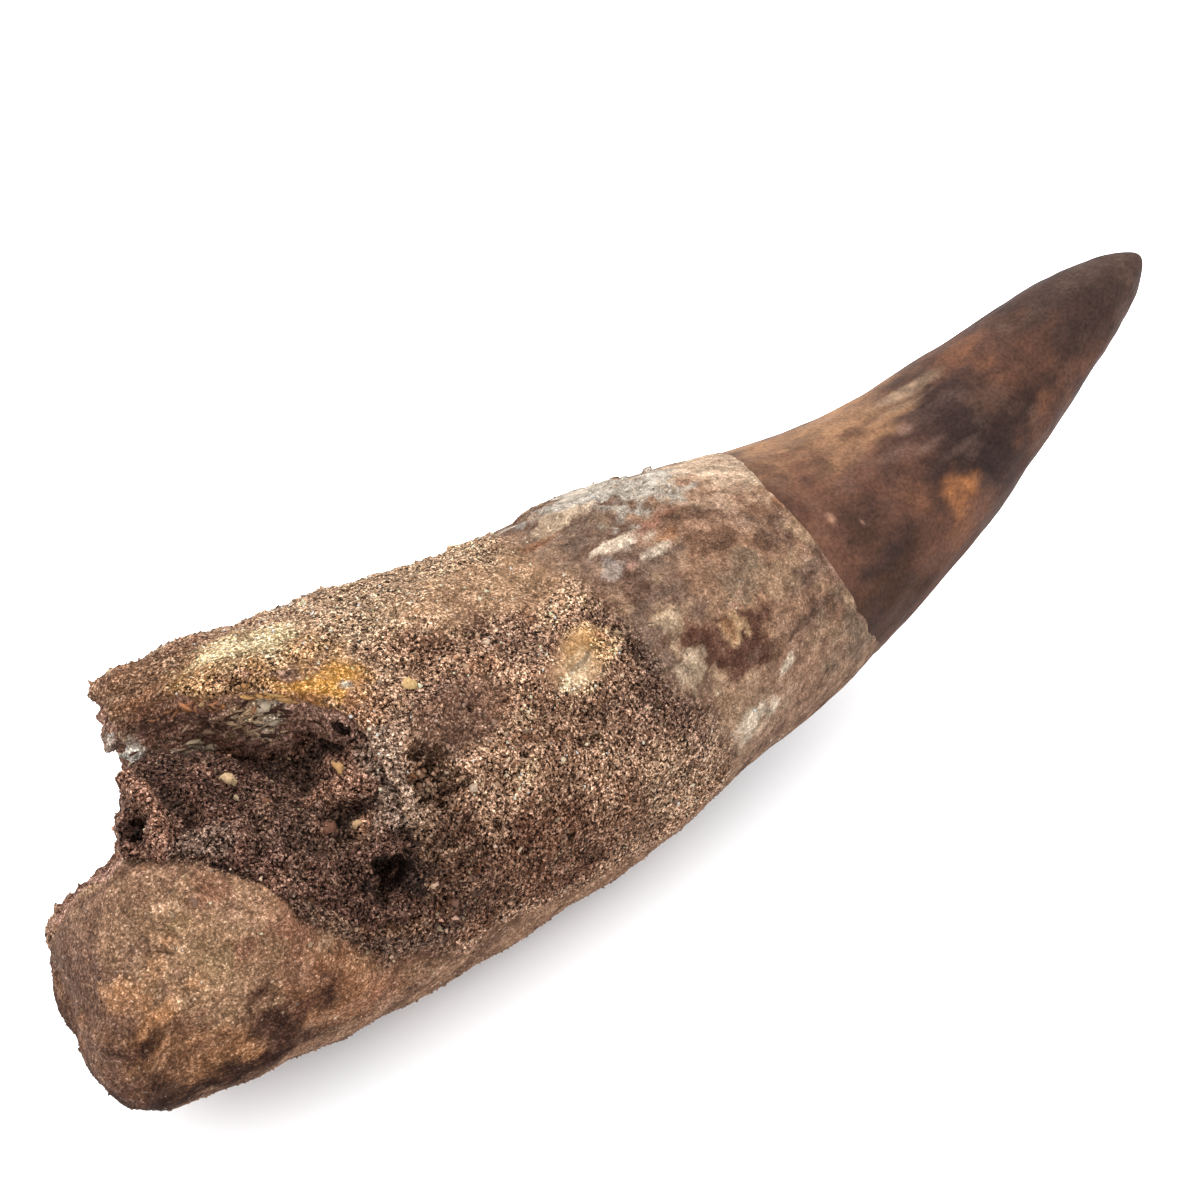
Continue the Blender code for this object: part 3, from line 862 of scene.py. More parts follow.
def makeRoot():
    body = rootBody()
    broken = breakCutter(*rootLook["wallShift"])
    window = windowCutter("windowCutter")
    uncut = BVHTree.FromObject(body, bpy.context.evaluated_depsgraph_get())
    points, faces = evenSkin(body, [(broken, "DIFFERENCE"), (window, "DIFFERENCE")], rootLook["faceSize"])
    points, faces = biggestPart(points, faces)
    edges = neighbours(faces)
    points = spread(points, edges, 2)
    worn = ramp(points[:, 0], *rootLook["rimWorn"])[:, None]
    points = points * (1 - worn) + spread(points, edges, 8) * worn
    for helper in (body, broken, window):
        bpy.data.objects.remove(helper)
    along, angle, _ = toothPlace(points)
    toEnamel = enamelEdge(np.radians(angle)) - along
    depth = np.array([uncut.find_nearest(Vector(p))[3] for p in points])      # under the unbroken skin
    depth[(points[:, 2] < 0.4) | (toEnamel < 1.0)] = 0        # not on the flat or the end inside the crown
    lobe, neck = borders(along, angle, points)
    normals = unit(spread(pointNormals(points, faces), edges, 3))
    relief, pits, fine = rootRelief(points, along, angle, depth, lobe, neck)
    relief *= ramp(toEnamel, 0.2, 1.5)
    moved = points + normals * relief[:, None]
    moved[:, 2] = np.maximum(moved[:, 2], rootLook["floorGap"])
    root = meshFromArrays("root", moved, faces)
    sand = rootSand(along, angle, rimWarp(points, 801), depth, lobe, neck)
    paint = rootColours(points, along, angle, depth, lobe, neck)
    paint = paint * np.clip(1 + 0.8 * fine, 0.5, 1.4)[:, None]       # painted shade in the crust's hollows, painted light on its lumps
    # painted shade in the pits and over the sunk crumbly cluster
    storeColour(root, "paint", paint * (1 - 0.5 * pits[:, None]))
    grainy = np.maximum(rootLook["lobeGrain"] * lobe + rootLook["neckGrain"] * neck,
                        rootLook["wallGrain"] * ramp(depth, 0.5, 0.9))
    storeValue(root, "sandy", np.maximum(sand, grainy))
    print("tooth: root made,", len(points), "points,", len(faces) * 2, "triangles")
    return root, {"points": moved, "normals": pointNormals(moved, faces), "along": along, "angle": angle,
                  "paint": paint, "sand": sand, "lobe": lobe, "neck": neck, "depth": depth, "pits": pits}


root, rootSkin = makeRoot()


# the crown

crownLook = {
    "start": 66.0,               # some way in under the neck
    "rings": 250,
    "columns": 180,
    "tipGap": 0.02,              # the last ring stops short of the point
    "tipCrowding": 1.25,         # rings get closer towards it
    # long shallow flutes and small dents: height, size, seed, layers
    "flutes": (0.10, 1.6, 901, 3),
    "dents": (0.16, 6.0, 911, 3),
    "flow": 0.12,                # how far streaks and flutes are drawn out
    "underNeck": 1.2,            # it thins out by this much under the neck
    "tint": (1.12, 1.22, 1.38),      # lighter and cooler than the colours below
    "noises": {"mottle": (5.0, 931, 4, 0.45), "blots": (2.2, 951, 4, 0.8)},
    "streaks": (0.9, 941, 3),
    "underMix": [("purple", "mottle", 0.0, 0.6, 0.6), ("redBrown", "-mottle", 0.0, 0.6, 0.6)],
    "overMix": [
        ("purple", "blots", 0.1, 0.55, 0.4), ("streak", "-blots", 0.15, 0.6, 0.22),
        ("purple", "streaks", 0.2, 0.7, 0.15),
    ],
    "colours": {
        "base": (96, 64, 50), "tan": (172, 127, 91), "tanBright": (180, 146, 116), "redBrown": (118, 80, 62),
        "purple": (64, 47, 42), "dark": (54, 40, 36), "orange": (206, 132, 80), "rust": (138, 90, 64),
        "green": (70, 46, 32), "brown": (96, 64, 50), "tip": (76, 57, 49), "tipLight": (92, 72, 61),
        "pink": (152, 116, 98), "streak": (122, 94, 80), "speck": (196, 146, 116),
    },
    # colour, distance, degrees, half length, half width, turn, strength
    "patches": [
        ("tan", 82, -20, 9, 5.0, 0, 0.9), ("redBrown", 80, -50, 6, 4.0, 0, 0.6),
        ("tan", 86, -4, 8, 2.2, 0, 0.75), ("tan", 92, -30, 6, 2.5, 0, 0.6),
        ("redBrown", 82, 26, 8, 5.0, 0, 0.7), ("redBrown", 78.5, 10, 3, 2.5, 0, 0.6),
        ("brown", 88, 70, 7, 4.0, 0, 0.6), ("green", 80.5, 80, 5, 4.0, 0, 0.85),
        ("dark", 80, 64, 3.2, 0.9, 0, 0.7), ("purple", 97, 40, 8, 5.5, 0, 0.9),
        ("redBrown", 86, 46, 4, 3, 0, 0.3), ("purple", 82.5, 52, 4.0, 4.0, 0, 0.4),
        ("purple", 96, 14, 5, 2.0, -10, 0.8), ("dark", 98, 60, 6, 3.4, 0, 0.85),
        ("purple", 89, 20, 2.6, 0.9, 0, 0.5), ("purple", 99, -18, 5, 1.2, 0, 0.6),
        # pale tan streaks along the crown's upper edge: partly its own colour, partly painted sheen
        ("tanBright", 95.5, -8, 3.2, 0.6, 3, 0.85), ("tanBright", 93.5, 2, 3.0, 0.3, 3, 0.5),
        ("tan", 91.5, 5, 3.0, 0.5, 3, 0.8), ("tan", 89, 11, 2.4, 0.45, 3, 0.6),
        ("tan", 84, 12, 4, 1.2, 0, 0.5), ("pink", 91, 17, 0.9, 0.5, 0, 0.75),
        ("streak", 91.6, 34, 2.2, 0.4, 5, 0.6), ("streak", 88, 26, 2.4, 0.5, 5, 0.5),
        ("streak", 94, 46, 2.6, 0.3, 5, 0.4), ("orange", 92.6, 65, 1.8, 1.5, 0, 0.75),
        ("orange", 91.2, 74, 1.0, 0.9, 0, 0.7), ("rust", 91.0, 82, 3.0, 2.2, 0, 0.6),
        ("rust", 87, 50, 2.6, 1.6, 0, 0.4), ("rust", 103.5, -12, 3.4, 1.4, -8, 0.9),
        ("rust", 102.6, 12, 1.3, 0.7, 0, 0.9), ("rust", 105, 32, 3.0, 2.2, 0, 0.4),
        ("rust", 101.5, 38, 2.4, 1.8, 0, 0.25), ("brown", 108, 20, 5, 3.0, 0, 0.5),
        ("rust", 104, 72, 1.4, 1.0, 0, 0.5), ("tip", 117, 0, 9, 12, 0, 0.8),
        ("tipLight", 115, 8, 5, 1.4, 0, 0.5), ("dark", 113, 55, 5, 1.6, 0, 0.5),
        ("speck", 77.0, 36.5, 0.42, 0.4, 0, 0.85), ("speck", 80, 44, 0.2, 0.2, 0, 0.7),
        ("dark", 75.6, -22, 1.6, 0.8, 0, 0.7),
    ],
}


def crownSkin():
    # rings round the tooth from under the neck to the tip
    angle = np.linspace(0, 2 * pi, crownLook["columns"], endpoint=False)
    t = np.linspace(0, 1, crownLook["rings"])
    reach = toothShape["length"] - crownLook["tipGap"] - crownLook["start"]
    x = crownLook["start"] + reach * (1 - (1 - t) ** crownLook["tipCrowding"])
    points = sectionPoint(x[:, None], angle[None, :], 0.0, rounded=True).reshape(-1, 3)
    faces = ringFaces(len(x), len(angle))
    radius = toothPlace(points)[2]
    degrees = np.tile(np.degrees(np.where(angle > pi, angle - 2 * pi, angle)), len(x))
    along = np.repeat(x, len(angle))
    sideways, upward = radius * np.cos(np.radians(degrees)), radius * np.sin(np.radians(degrees))
    flow = np.stack([along * crownLook["flow"], sideways, upward], 1)
    flutes, *fluteNoise = crownLook["flutes"]
    dents, *dentNoise = crownLook["dents"]
    relief = flutes * roughness(flow, *fluteNoise) + dents * roughness(points, *dentNoise)
    relief *= ramp(along, 68, 74) * ramp(along, 123, 119)
    relief -= crownLook["underNeck"] * ramp(enamelEdge(np.radians(degrees)) - along, 0.6, 3.0)
    normals = pointNormals(points, faces)
    outward = points - np.stack([along, 0 * along, stationCurve(along, 1)], 1)
    normals *= np.sign(np.sum(normals * outward, axis=1))[:, None]
    return points + normals * relief[:, None], faces, along, degrees, flow


def makeCrown():
    points, faces, along, degrees, flow = crownSkin()
    # both ends are closed with a fan round a middle point
    columns = crownLook["columns"]
    base, tip = points[:columns].mean(axis=0), points[-columns:].mean(axis=0)
    points = np.vstack([points, base, tip])
    last = len(points) - 2 - columns
    baseMiddle, tipMiddle = len(points) - 2, len(points) - 1
    after = [(k + 1) % columns for k in range(columns)]
    baseFan = [(after[k], k, baseMiddle) for k in range(columns)]
    tipFan = [(last + k, last + after[k], tipMiddle) for k in range(columns)]
    mesh = bpy.data.meshes.new("crown")
    mesh.from_pydata(toMetres(points).tolist(), [], faces.tolist() + baseFan + tipFan)
    bm = bmesh.new()
    bm.from_mesh(mesh)
    bmesh.ops.recalc_face_normals(bm, faces=bm.faces)
    bm.to_mesh(mesh)
    bm.free()
    mesh.shade_smooth()
    crown = addObject("crown", mesh)
    along = np.append(along, [crownLook["start"], toothShape["length"]])
    degrees = np.append(degrees, [0, 0])
    flow = np.vstack([flow, flow[0], flow[-1]])
    colours = crownLook["colours"]
    warp = rimWarp(points * [0.5, 1, 1], 921)
    noises = noiseSet(points, crownLook["noises"])
    noises["streaks"] = roughness(flow, *crownLook["streaks"])
    paint = ground("base", crownLook["underMix"], colours, noises)
    paint = paintPatches(paint, along, degrees, warp, crownLook["patches"], colours, 0.4, 0.7)
    paint = mottled(paint, crownLook["overMix"], colours, noises)
    storeColour(crown, "paint", paint * np.array(crownLook["tint"]))
    storeVector(crown, "flow", flow)
    print("tooth: crown made,", len(mesh.polygons) * 2, "triangles")
    return crown


crown = makeCrown()


# the sandstone in the window

matrixLook = {
    "faceSize": 0.17,
    "grow": 0.5,                 # reaches a little into the walls
    # how deep the sandstone lies: under the lip, in the middle, at the lower lobe
    "lipDepth": 6.8,
    "middleDepth": 3.0,
    "lobeDepth": 0.35,
    "breakShifts": (-0.5, -3.6, 6.8),      # its open end: low down, high up, and where that changes
    "flushFrom": 22.5,           # towards the crown it rises to the skin
    "flushTo": 28.0,
    "flushDepth": 0.4,
    # lumps of the face: height, size, seed, layers
    "lumps": [(0.75, 3.0, 1011, 3), (0.42, 1.0, 1021, 2)],
    # raised and sunk marks: height, distance, degrees, half length, half width, turn, ragged, soft
    "marks": [
        (1.3, 13.0, 20, 0.65, 4.0, 8, 0.3),              # the ridge at the open end
        (-1.9, 11.7, 23.5, 0.9, 0.9, 0, 0.3), (-0.8, 14.6, 24, 1.0, 3.0),
        (1.1, 24.6, 40, 2.2, 1.1), (-0.4, 24.2, 47, 1.7, 0.7),       # the overhanging lip
        (0.7, 22.5, 50, 0.6, 0.6, 0, 0.1), (0.5, 24.5, 53, 0.6, 0.7, 0, 0.1),
        (-1.9, 25.4, 69, 1.3, 1.5, 0, 0.7), (-0.8, 24.8, 73, 1.4, 1.6),      # the deep hole
        (-0.7, 26.3, 24, 2.0, 1.6),
    ],
    "noises": {"mottle": (2.4, 1041, 4, 1.0)},
    "mix": [("dark", "mottle", 0.0, 0.5, 0.7), ("red", "-mottle", 0.1, 0.6, 0.6)],
    "colours": {
        "base": (99, 67, 55), "dark": (62, 44, 36), "red": (126, 88, 70), "grey": (140, 114, 99),
        # the near-black colour is painted shade inside the holes
        "brown": (108, 80, 66), "black": (26, 16, 12), "rust": (150, 106, 78),
    },
    # colour, distance, degrees, half length, half width, turn, strength
    "patches": [
        ("dark", 22, 24, 4.0, 2.4, 0, 0.8), ("dark", 18, 8, 5.0, 2.0, 0, 0.6),
        ("base", 16, 28, 4, 3, 0, 0.6), ("brown", 20, 40, 4.0, 3.0, 0, 0.5),
        ("red", 13.0, 20, 0.75, 4.2, 8, 0.85), ("red", 12.6, 6, 1.2, 1.4, 0, 0.4),
        # the near-black spot is painted shade in the hole at the open end
        ("dark", 14.6, 24, 0.7, 3.0, 8, 0.6), ("black", 11.7, 23.5, 1.0, 1.0, 0, 0.95),
        # the dark patch beside the lip's red is a painted shadow under the overhanging lip
        ("red", 24.6, 40, 2.3, 1.0, 0, 0.8), ("dark", 24.3, 48, 1.9, 0.9, 0, 0.9),
        ("brown", 22, 55, 3.5, 2.5, 0, 0.6), ("red", 22.5, 49, 0.9, 0.8, 0, 0.7),
        ("rust", 24.8, 53, 1.0, 1.2, 0, 0.5), ("base", 21, 70, 4.0, 3.0, 0, 0.8),
        # painted shade in the deep hole: the near-black spot here and the dark patch round it on the next
        # line
        ("base", 23.5, 78, 4, 4, 0, 0.6), ("black", 25.5, 69, 1.5, 1.5, 0, 0.95),
        ("dark", 26.6, 72, 2.0, 2.0, 0, 0.9), ("grey", 27.3, 44, 1.4, 4.5, 0, 0.8),
        ("dark", 26.4, 24, 2.0, 1.6, 0, 0.85), ("grey", 14.5, 36, 2, 1, 0, 0.5),
    ],
}


def matrixDepth(along, angle):
    # depth of the sandstone's face under the tooth's skin
    rings = np.array(windowShape["rings"])
    top = np.interp(along, rings[:, 0], rings[:, 1])
    bottom = np.interp(along, rings[:, 0], rings[:, 2])
    lip, middle, lobe = matrixLook["lipDepth"], matrixLook["middleDepth"], matrixLook["lobeDepth"]
    across = [(0, lip), (0.12, lip), (0.5, middle), (0.9, lobe), (1.05, lobe * 0.5)]
    depth = onLine((angle - top) / (bottom - top), across)
    flush = ramp(along + 0.03 * (angle - 40), matrixLook["flushFrom"], matrixLook["flushTo"])
    return depth * (1 - flush) + matrixLook["flushDepth"] * flush


def matrixRelief(points, along, angle):
    # how far the sandstone's face moves out
    warp = rimWarp(points, 1001)
    height = np.zeros(len(points))
    for high, *noise in matrixLook["lumps"]:
        height += high * roughness(points, *noise)
    away, shade = crumbs(points, 1.3, 1031)
    height += 0.35 * ramp(shade, 0.6, 0.8) * ramp(away, 0.5, 0.1)
    for high, *place in matrixLook["marks"]:
        height += high * softOval(along, angle, warp, *place)
    return height


def makeMatrix():
    angle = np.linspace(-pi, pi, 180, endpoint=False)
    x = np.linspace(0, 40, 100)
    depth = matrixDepth(x[:, None], np.degrees(angle)[None, :])
    rings = sectionPoint(x[:, None], angle[None, :], -depth, rounded=True)
    limit = closedLoft("matrixLimit", leaned(rings))
    plug = windowCutter("matrixPlug", matrixLook["grow"])
    upper = breakCutter(*matrixLook["breakShifts"])
    points, faces = evenSkin(plug, [(limit, "INTERSECT"), (upper, "DIFFERENCE")], matrixLook["faceSize"])
    points, faces = biggestPart(points, faces)
    edges = neighbours(faces)
    points = spread(points, edges, 2)
    for helper in (limit, plug, upper):
        bpy.data.objects.remove(helper)
    along, angle, _ = toothPlace(points)
    normals = unit(spread(pointNormals(points, faces), edges, 3))
    outward = normals[:, 1] * np.sin(-np.radians(angle)) + normals[:, 2] * np.cos(np.radians(angle))
    shown = np.maximum(ramp(outward, 0.0, 0.4), ramp(-normals[:, 0], 0.3, 0.6))
    relief = matrixRelief(points, along, angle)
    moved = points + normals * (relief * shown)[:, None]
    matrix = meshFromArrays("sandstone", moved, faces)
    colours = matrixLook["colours"]
    paint = ground("base", matrixLook["mix"], colours, noiseSet(points, matrixLook["noises"]))
    paint = paintPatches(paint, along, angle, rimWarp(points, 1051), matrixLook["patches"], colours, 0.5, 0.4)
    paint = paint * np.clip(0.95 + 0.5 * relief, 0.4, 1.35)[:, None]       # painted shade in the sandstone's hollows, painted light on its lumps
    storeColour(matrix, "paint", paint)
    storeValue(matrix, "sandy", np.ones(len(points)))
    print("tooth: sandstone made,", len(faces) * 2, "triangles")
    return matrix, {"points": moved, "normals": pointNormals(moved, faces), "along": along, "angle": angle,
                    "paint": paint, "shown": shown}


matrix, matrixSkin = makeMatrix()


# loose grains of sand stuck to the skin

grainLook = {
    # spacing, size, spread of their shades, how much lighter they are, share of nearly white ones, pieces
    "layers": {
        "crustGrains": (0.34, 0.115, 0.7, 1.12, 0.08, 2),
        "coarseGrains": (0.34, 0.20, 0.7, 1.1, 0.08, 1),
        "farGrains": (0.62, 0.25, 0.4, 1.3, 0.08, 1),
        "lobeGrains": (0.5, 0.10, 0.5, 1.1, 0.05, 1),
        "sandstoneGrains": (0.37, 0.115, 0.65, 1.15, 0.05, 1),
    },
    "nearSide": (-0.48, -0.64, 0.60),        # faces turned this way are mostly seen
    "underside": 0.15,           # no grains below this height
    "sizeSpread": 0.33,
    "disorder": 0.11,            # how far they lie off their spots
    "sink": 0.25,                # how deep they sit, as a share of their size
    "floorGap": 0.02,
    # where coarse crumbs lie: distance, degrees, half length, half width
    "coarsePlaces": [(31.1, 48.5, 1.9, 2.0), (28.6, 80, 2.6, 3.2)],
    "crystal": (236, 208, 174),      # the nearly white ones
    # plates in the broken wall: distance, depth, half length, half thickness, colour
    "flakes": [
        (23.8, 0.7, 1.7, 0.20, (222, 178, 120)), (23.3, 1.6, 1.0, 0.26, (222, 204, 180)),
        (22.8, 2.4, 0.7, 0.24, (204, 178, 150)), (23.5, 3.1, 0.9, 0.20, (220, 202, 180)),
        (22.1, 3.5, 0.6, 0.28, (190, 158, 130)), (22.9, 4.6, 0.9, 0.13, (212, 194, 170)),
        (21.5, 4.2, 0.6, 0.18, (168, 142, 122)), (19.7, 5.3, 0.8, 0.16, (210, 188, 160)),
        (16.7, 4.8, 1.5, 0.13, (204, 188, 170)), (17.8, 5.1, 1.0, 0.10, (190, 170, 148)),
        (19.9, 0.9, 0.6, 0.12, (214, 176, 130)), (20.9, 1.3, 0.3, 0.26, (196, 134, 88)),
        (21.8, 2.0, 0.8, 0.10, (170, 136, 110)), (20.4, 2.8, 1.0, 0.10, (140, 108, 90)),
    ],
    # beds of small plates: distance, depth, half length, half height, count, colour
    "plateBeds": [
        (22.8, 2.8, 1.8, 1.8, 36, (236, 200, 164)), (20.4, 3.6, 2.0, 1.2, 18, (176, 142, 120)),
        (17.2, 5.0, 2.4, 0.45, 26, (236, 210, 180)), (20.0, 1.4, 2.8, 0.7, 18, (206, 140, 98)),
        (23.8, 0.8, 1.5, 0.35, 14, (240, 186, 124)), (14.8, 3.4, 0.7, 1.3, 6, (226, 216, 200)),
        (22.0, 3.4, 2.4, 1.8, 30, (92, 60, 50)), (18.0, 2.6, 2.6, 1.2, 18, (110, 74, 62)),
    ],
    # single stones: distance, degrees, half size, stretch, colour, on the sandstone or the root
    "stones": [
        (18.3, 24, 0.72, (0.75, 1.15, 0.6), (222, 190, 150), "matrix"),
        (32.7, 23, 0.62, (1.1, 0.9, 0.8), (226, 190, 134), "root"),
        (25.6, 35, 0.48, (0.7, 1.4, 0.7), (204, 160, 110), "matrix"),
        (22.5, 50, 0.50, (1, 1, 0.8), (128, 88, 72), "matrix"),
        (24.3, 52, 0.36, (1, 0.8, 0.8), (206, 168, 130), "matrix"),
        (20.0, 33, 0.34, (1, 1, 0.8), (138, 94, 72), "matrix"),
        (33.2, 55, 0.34, (1.2, 0.9, 0.8), (216, 190, 168), "root"),
        (30.4, 79, 0.26, (1.1, 0.8, 0.8), (196, 158, 124), "root"),
        (27.8, 75, 0.26, (1.3, 0.8, 0.7), (218, 182, 156), "root"),
        (35.4, 77, 0.34, (1.1, 0.8, 0.8), (220, 196, 172), "root"),
        (16.0, 35, 0.22, (0.7, 1.3, 0.7), (214, 190, 160), "matrix"),
        (41.0, 60, 0.30, (1.2, 0.8, 0.7), (226, 206, 176), "root"),
        (40.5, 21, 0.30, (1, 1, 0.7), (230, 206, 182), "root"),
    ],
}


def gemShape(detail):
    # a rough gem: 8, 20 or 80 little faces
    bm = bmesh.new()
    if detail == 8:
        ends = ((1, 0, 0), (-1, 0, 0), (0, 1, 0), (0, -1, 0), (0, 0, 1), (0, 0, -1))
        corners = [bm.verts.new(p) for p in ends]
        for i, j in ((0, 2), (2, 1), (1, 3), (3, 0)):
            bm.faces.new((corners[i], corners[j], corners[4]))
            bm.faces.new((corners[j], corners[i], corners[5]))
    else:
        bmesh.ops.create_icosphere(bm, subdivisions=1 if detail == 20 else 2, radius=1.0)
    bm.verts.index_update()
    points = np.array([v.co[:] for v in bm.verts])
    faces = np.array([[v.index for v in f.verts] for f in bm.faces])
    bm.free()
    return points, faces


def pickSpots(points, spacing, chance, rng):
    # about one point for every cell of the given size
    cell = np.floor(points / spacing).astype(np.int64)
    key = (cell[:, 0] + 4096) * 8192 * 8192 + (cell[:, 1] + 4096) * 8192 + cell[:, 2] + 4096
    order = np.lexsort((rng.random(len(points)), key))
    first = np.ones(len(order), bool)
    first[1:] = key[order][1:] != key[order][:-1]
    spots = order[first]
    return spots[rng.random(len(spots)) < chance[spots]]


def anyWayUp(count, rng):
    # turns in any direction, as rotation matrices
    turn = rng.normal(size=(count, 4))
    turn /= np.linalg.norm(turn, axis=1, keepdims=True)
    w, x, y, z = turn.T
    return np.stack([
        np.stack([1 - 2 * (y * y + z * z), 2 * (x * y - w * z), 2 * (x * z + w * y)], 1),
        np.stack([2 * (x * y + w * z), 1 - 2 * (x * x + z * z), 2 * (y * z - w * x)], 1),
        np.stack([2 * (x * z - w * y), 2 * (y * z + w * x), 1 - 2 * (x * x + y * y)], 1)], 1)


def alongTooth(normals, rng):
    # long way along the tooth, laid on the skin, with a little disorder
    long = np.array([1.0, 0, 0]) + rng.normal(0, 0.12, (len(normals), 3))
    long -= normals * np.sum(long * normals, axis=1, keepdims=True)
    long /= np.linalg.norm(long, axis=1, keepdims=True)
    return np.stack([long, np.cross(normals, long), normals], 2)


def grainMesh(name, places, normals, sizes, colours, detail, rng, sink=None, stretch=None, rotation=None):
    # one mesh of many uneven gems, each sunk a little into the skin
    gem, gemFaces = gemShape(detail)
    count, corners = len(places), len(gem)
    if rotation is None:
        rotation = anyWayUp(count, rng)
    if stretch is None:
        stretch = rng.uniform(0.65, 1.35, (count, 3))
    if sink is None:
        sink = grainLook["sink"]
    shaped = gem[None] * rng.uniform(0.6, 1.4, (count, corners, 1)) * stretch[:, None, :]
    shaped = np.einsum("nij,nkj->nki", rotation, shaped) * sizes[:, None, None]
    aside = rng.normal(0, grainLook["disorder"], (count, 3))
    aside -= normals * np.sum(aside * normals, axis=1, keepdims=True)
    points = shaped + (places + aside - normals * (sink * sizes)[:, None])[:, None, :]
    faces = gemFaces[None] + (np.arange(count) * corners)[:, None, None]
    points = points.reshape(-1, 3)
    points[:, 2] = np.maximum(points[:, 2], grainLook["floorGap"])
    grains = meshFromArrays(name, points, faces.reshape(-1, 3), smooth=False)
    storeColour(grains, "paint", np.repeat(colours, corners, axis=0))
    print("tooth:", name, "made,", len(grains.data.polygons), "triangles")
    return grains


def grainColours(paint, rng, contrast, lift, crystals):
    count = len(paint)
    shade = np.exp(rng.normal(0, contrast, count)) * lift
    colours = paint * shade[:, None]
    # the palest ones are greyer, and some are warmer than others
    grey = colours.mean(axis=1, keepdims=True)
    pale = np.clip(0.25 * (shade - 1), 0, 0.35)[:, None]
    colours = colours * (1 - pale) + grey * pale * np.array([1.1, 1.0, 0.88])
    warm = rng.normal(0, 0.07, count)
    colours = colours * np.stack([1 + warm, np.ones(count), 1 - warm], 1)
    bright = rng.random(count) < crystals
    crystal = colour(*grainLook["crystal"]) * rng.uniform(0.5, 1, (bright.sum(), 1))
    colours[bright] = 0.5 * colours[bright] + 0.5 * crystal
    return np.clip(colours, 0, 0.9)


def scatter(name, skin, chance, rng):
    # one layer of grains on a skin, fewer where the chance is small
    spacing, size, contrast, lift, crystals, parts = grainLook["layers"][name]
    spots = pickSpots(skin["points"], spacing, chance, rng)
    sizes = size * np.exp(rng.normal(0, grainLook["sizeSpread"], len(spots)))
    colours = grainColours(skin["paint"][spots], rng, contrast, lift, crystals)
    made = []
    for part in range(parts):
        take = slice(part, None, parts)
        partName = name + str(part + 1) if parts > 1 else name
        made.append(grainMesh(partName, skin["points"][spots][take], skin["normals"][spots][take],
                              sizes[take], colours[take], 8, rng))
    return made


def singleStones(rng):
    # each goes on the nearest bit of skin of its host
    hosts = {
        "root": (rootSkin, ramp(rootSkin["depth"], 0.6, 0.3)),
        "matrix": (matrixSkin, matrixSkin["shown"]),
    }
    spots, normals = [], []
    for x, a, _, _, _, host in grainLook["stones"]:
        skin, allowed = hosts[host]
        away = np.hypot(skin["along"] - x, np.radians(skin["angle"] - a) * skinRadius)
        best = np.argmin(away + farAway * (allowed < 0.5))
        spots.append(skin["points"][best])
        normals.append(skin["normals"][best])
    _, _, sizes, stretches, shades, _ = zip(*grainLook["stones"])
    normals = np.array(normals)
    colours = np.array([colour(*shade) for shade in shades])
    return grainMesh("stones", np.array(spots), normals, np.array(sizes), colours, 80, rng,
                     0.2, np.array(stretches), alongTooth(normals, rng))


def wallFlakes(rng):
    # plates laid along the broken wall: a few placed ones, then the beds
    flakes = list(grainLook["flakes"])
    for x, under, reach, high, count, shade in grainLook["plateBeds"]:
        for _ in range(count):
            tone = rng.uniform(0.75, 1.05)
            flakes.append((x + rng.uniform(-reach, reach), under + rng.uniform(-high, high),
                           rng.uniform(0.5, 1.3), rng.uniform(0.04, 0.09), [tone * part for part in shade]))
    along, depth = rootSkin["along"], rootSkin["depth"]
    offLip = farAway * (np.abs(rootSkin["angle"] - onLine(along, windowShape["lip"])) > 40)
    spots = [np.argmin(np.hypot(along - x, depth - under) + offLip) for x, under, *_ in flakes]
    normals = unit(rootSkin["normals"][spots])
    stretches = np.array([(reach * 0.65, thick * 1.5, 0.22) for _, _, reach, thick, _ in flakes])
    shades = np.array([colour(*flake[-1]) for flake in flakes])
    return grainMesh("wallFlakes", rootSkin["points"][spots], normals, np.ones(len(flakes)), shades, 20, rng,
                     0.05, stretches, alongTooth(normals, rng))


def makeGrains():
    rng = np.random.default_rng(20)
    along, depth, sand = (rootSkin[k] for k in ("along", "depth", "sand"))
    near = (rootSkin["normals"] @ np.array(grainLook["nearSide"])) > -0.15
    hidden = rootSkin["points"][:, 2] < grainLook["underside"]
    coarse = np.zeros(len(along))
    for place in grainLook["coarsePlaces"]:
        coarse = np.maximum(coarse, ellipse(along, rootSkin["angle"], np.zeros((len(along), 2)), *place))
    coarse = coarse * ramp(depth, 0.4, 0.2)
    speckled = (rootSkin["lobe"] * 0.8 + rootSkin["neck"] * 0.25) * ramp(along, 70, 62)
    speckled = speckled * ramp(depth, 0.7, 0.3) + 0.5 * ramp(depth, 0.5, 0.9)
    made = scatter("crustGrains", rootSkin, sand * near * ~hidden * (1 - 0.9 * rootSkin["pits"]), rng)
    made += scatter("coarseGrains", rootSkin, sand * coarse * 0.6, rng)
    made += scatter("farGrains", rootSkin, sand * ~near * ~hidden, rng)
    made += scatter("lobeGrains", rootSkin, speckled * ~hidden, rng)
    made += scatter("sandstoneGrains", matrixSkin, matrixSkin["shown"] * 0.9, rng)
    made.append(singleStones(rng))
    made.append(wallFlakes(rng))
    return made


grains = makeGrains()


# materials

def addNode(tree, kind, **settings):
    node = tree.nodes.new(kind)
    for key, value in settings.items():
        setattr(node, key, value)
    return node


def mathNode(tree, operation, first, second):
    node = addNode(tree, "ShaderNodeMath", operation=operation)
    for i, value in enumerate((first, second)):
        if isinstance(value, (int, float)):
            node.inputs[i].default_value = value
        else:
            tree.links.new(value, node.inputs[i])
    return node.outputs[0]


def noiseNode(tree, place, scale, detail, rough):
    node = addNode(tree, "ShaderNodeTexNoise")
    node.inputs["Scale"].default_value = scale
    node.inputs["Detail"].default_value = detail
    node.inputs["Roughness"].default_value = rough
    tree.links.new(place, node.inputs["Vector"])
    return node.outputs["Fac"]


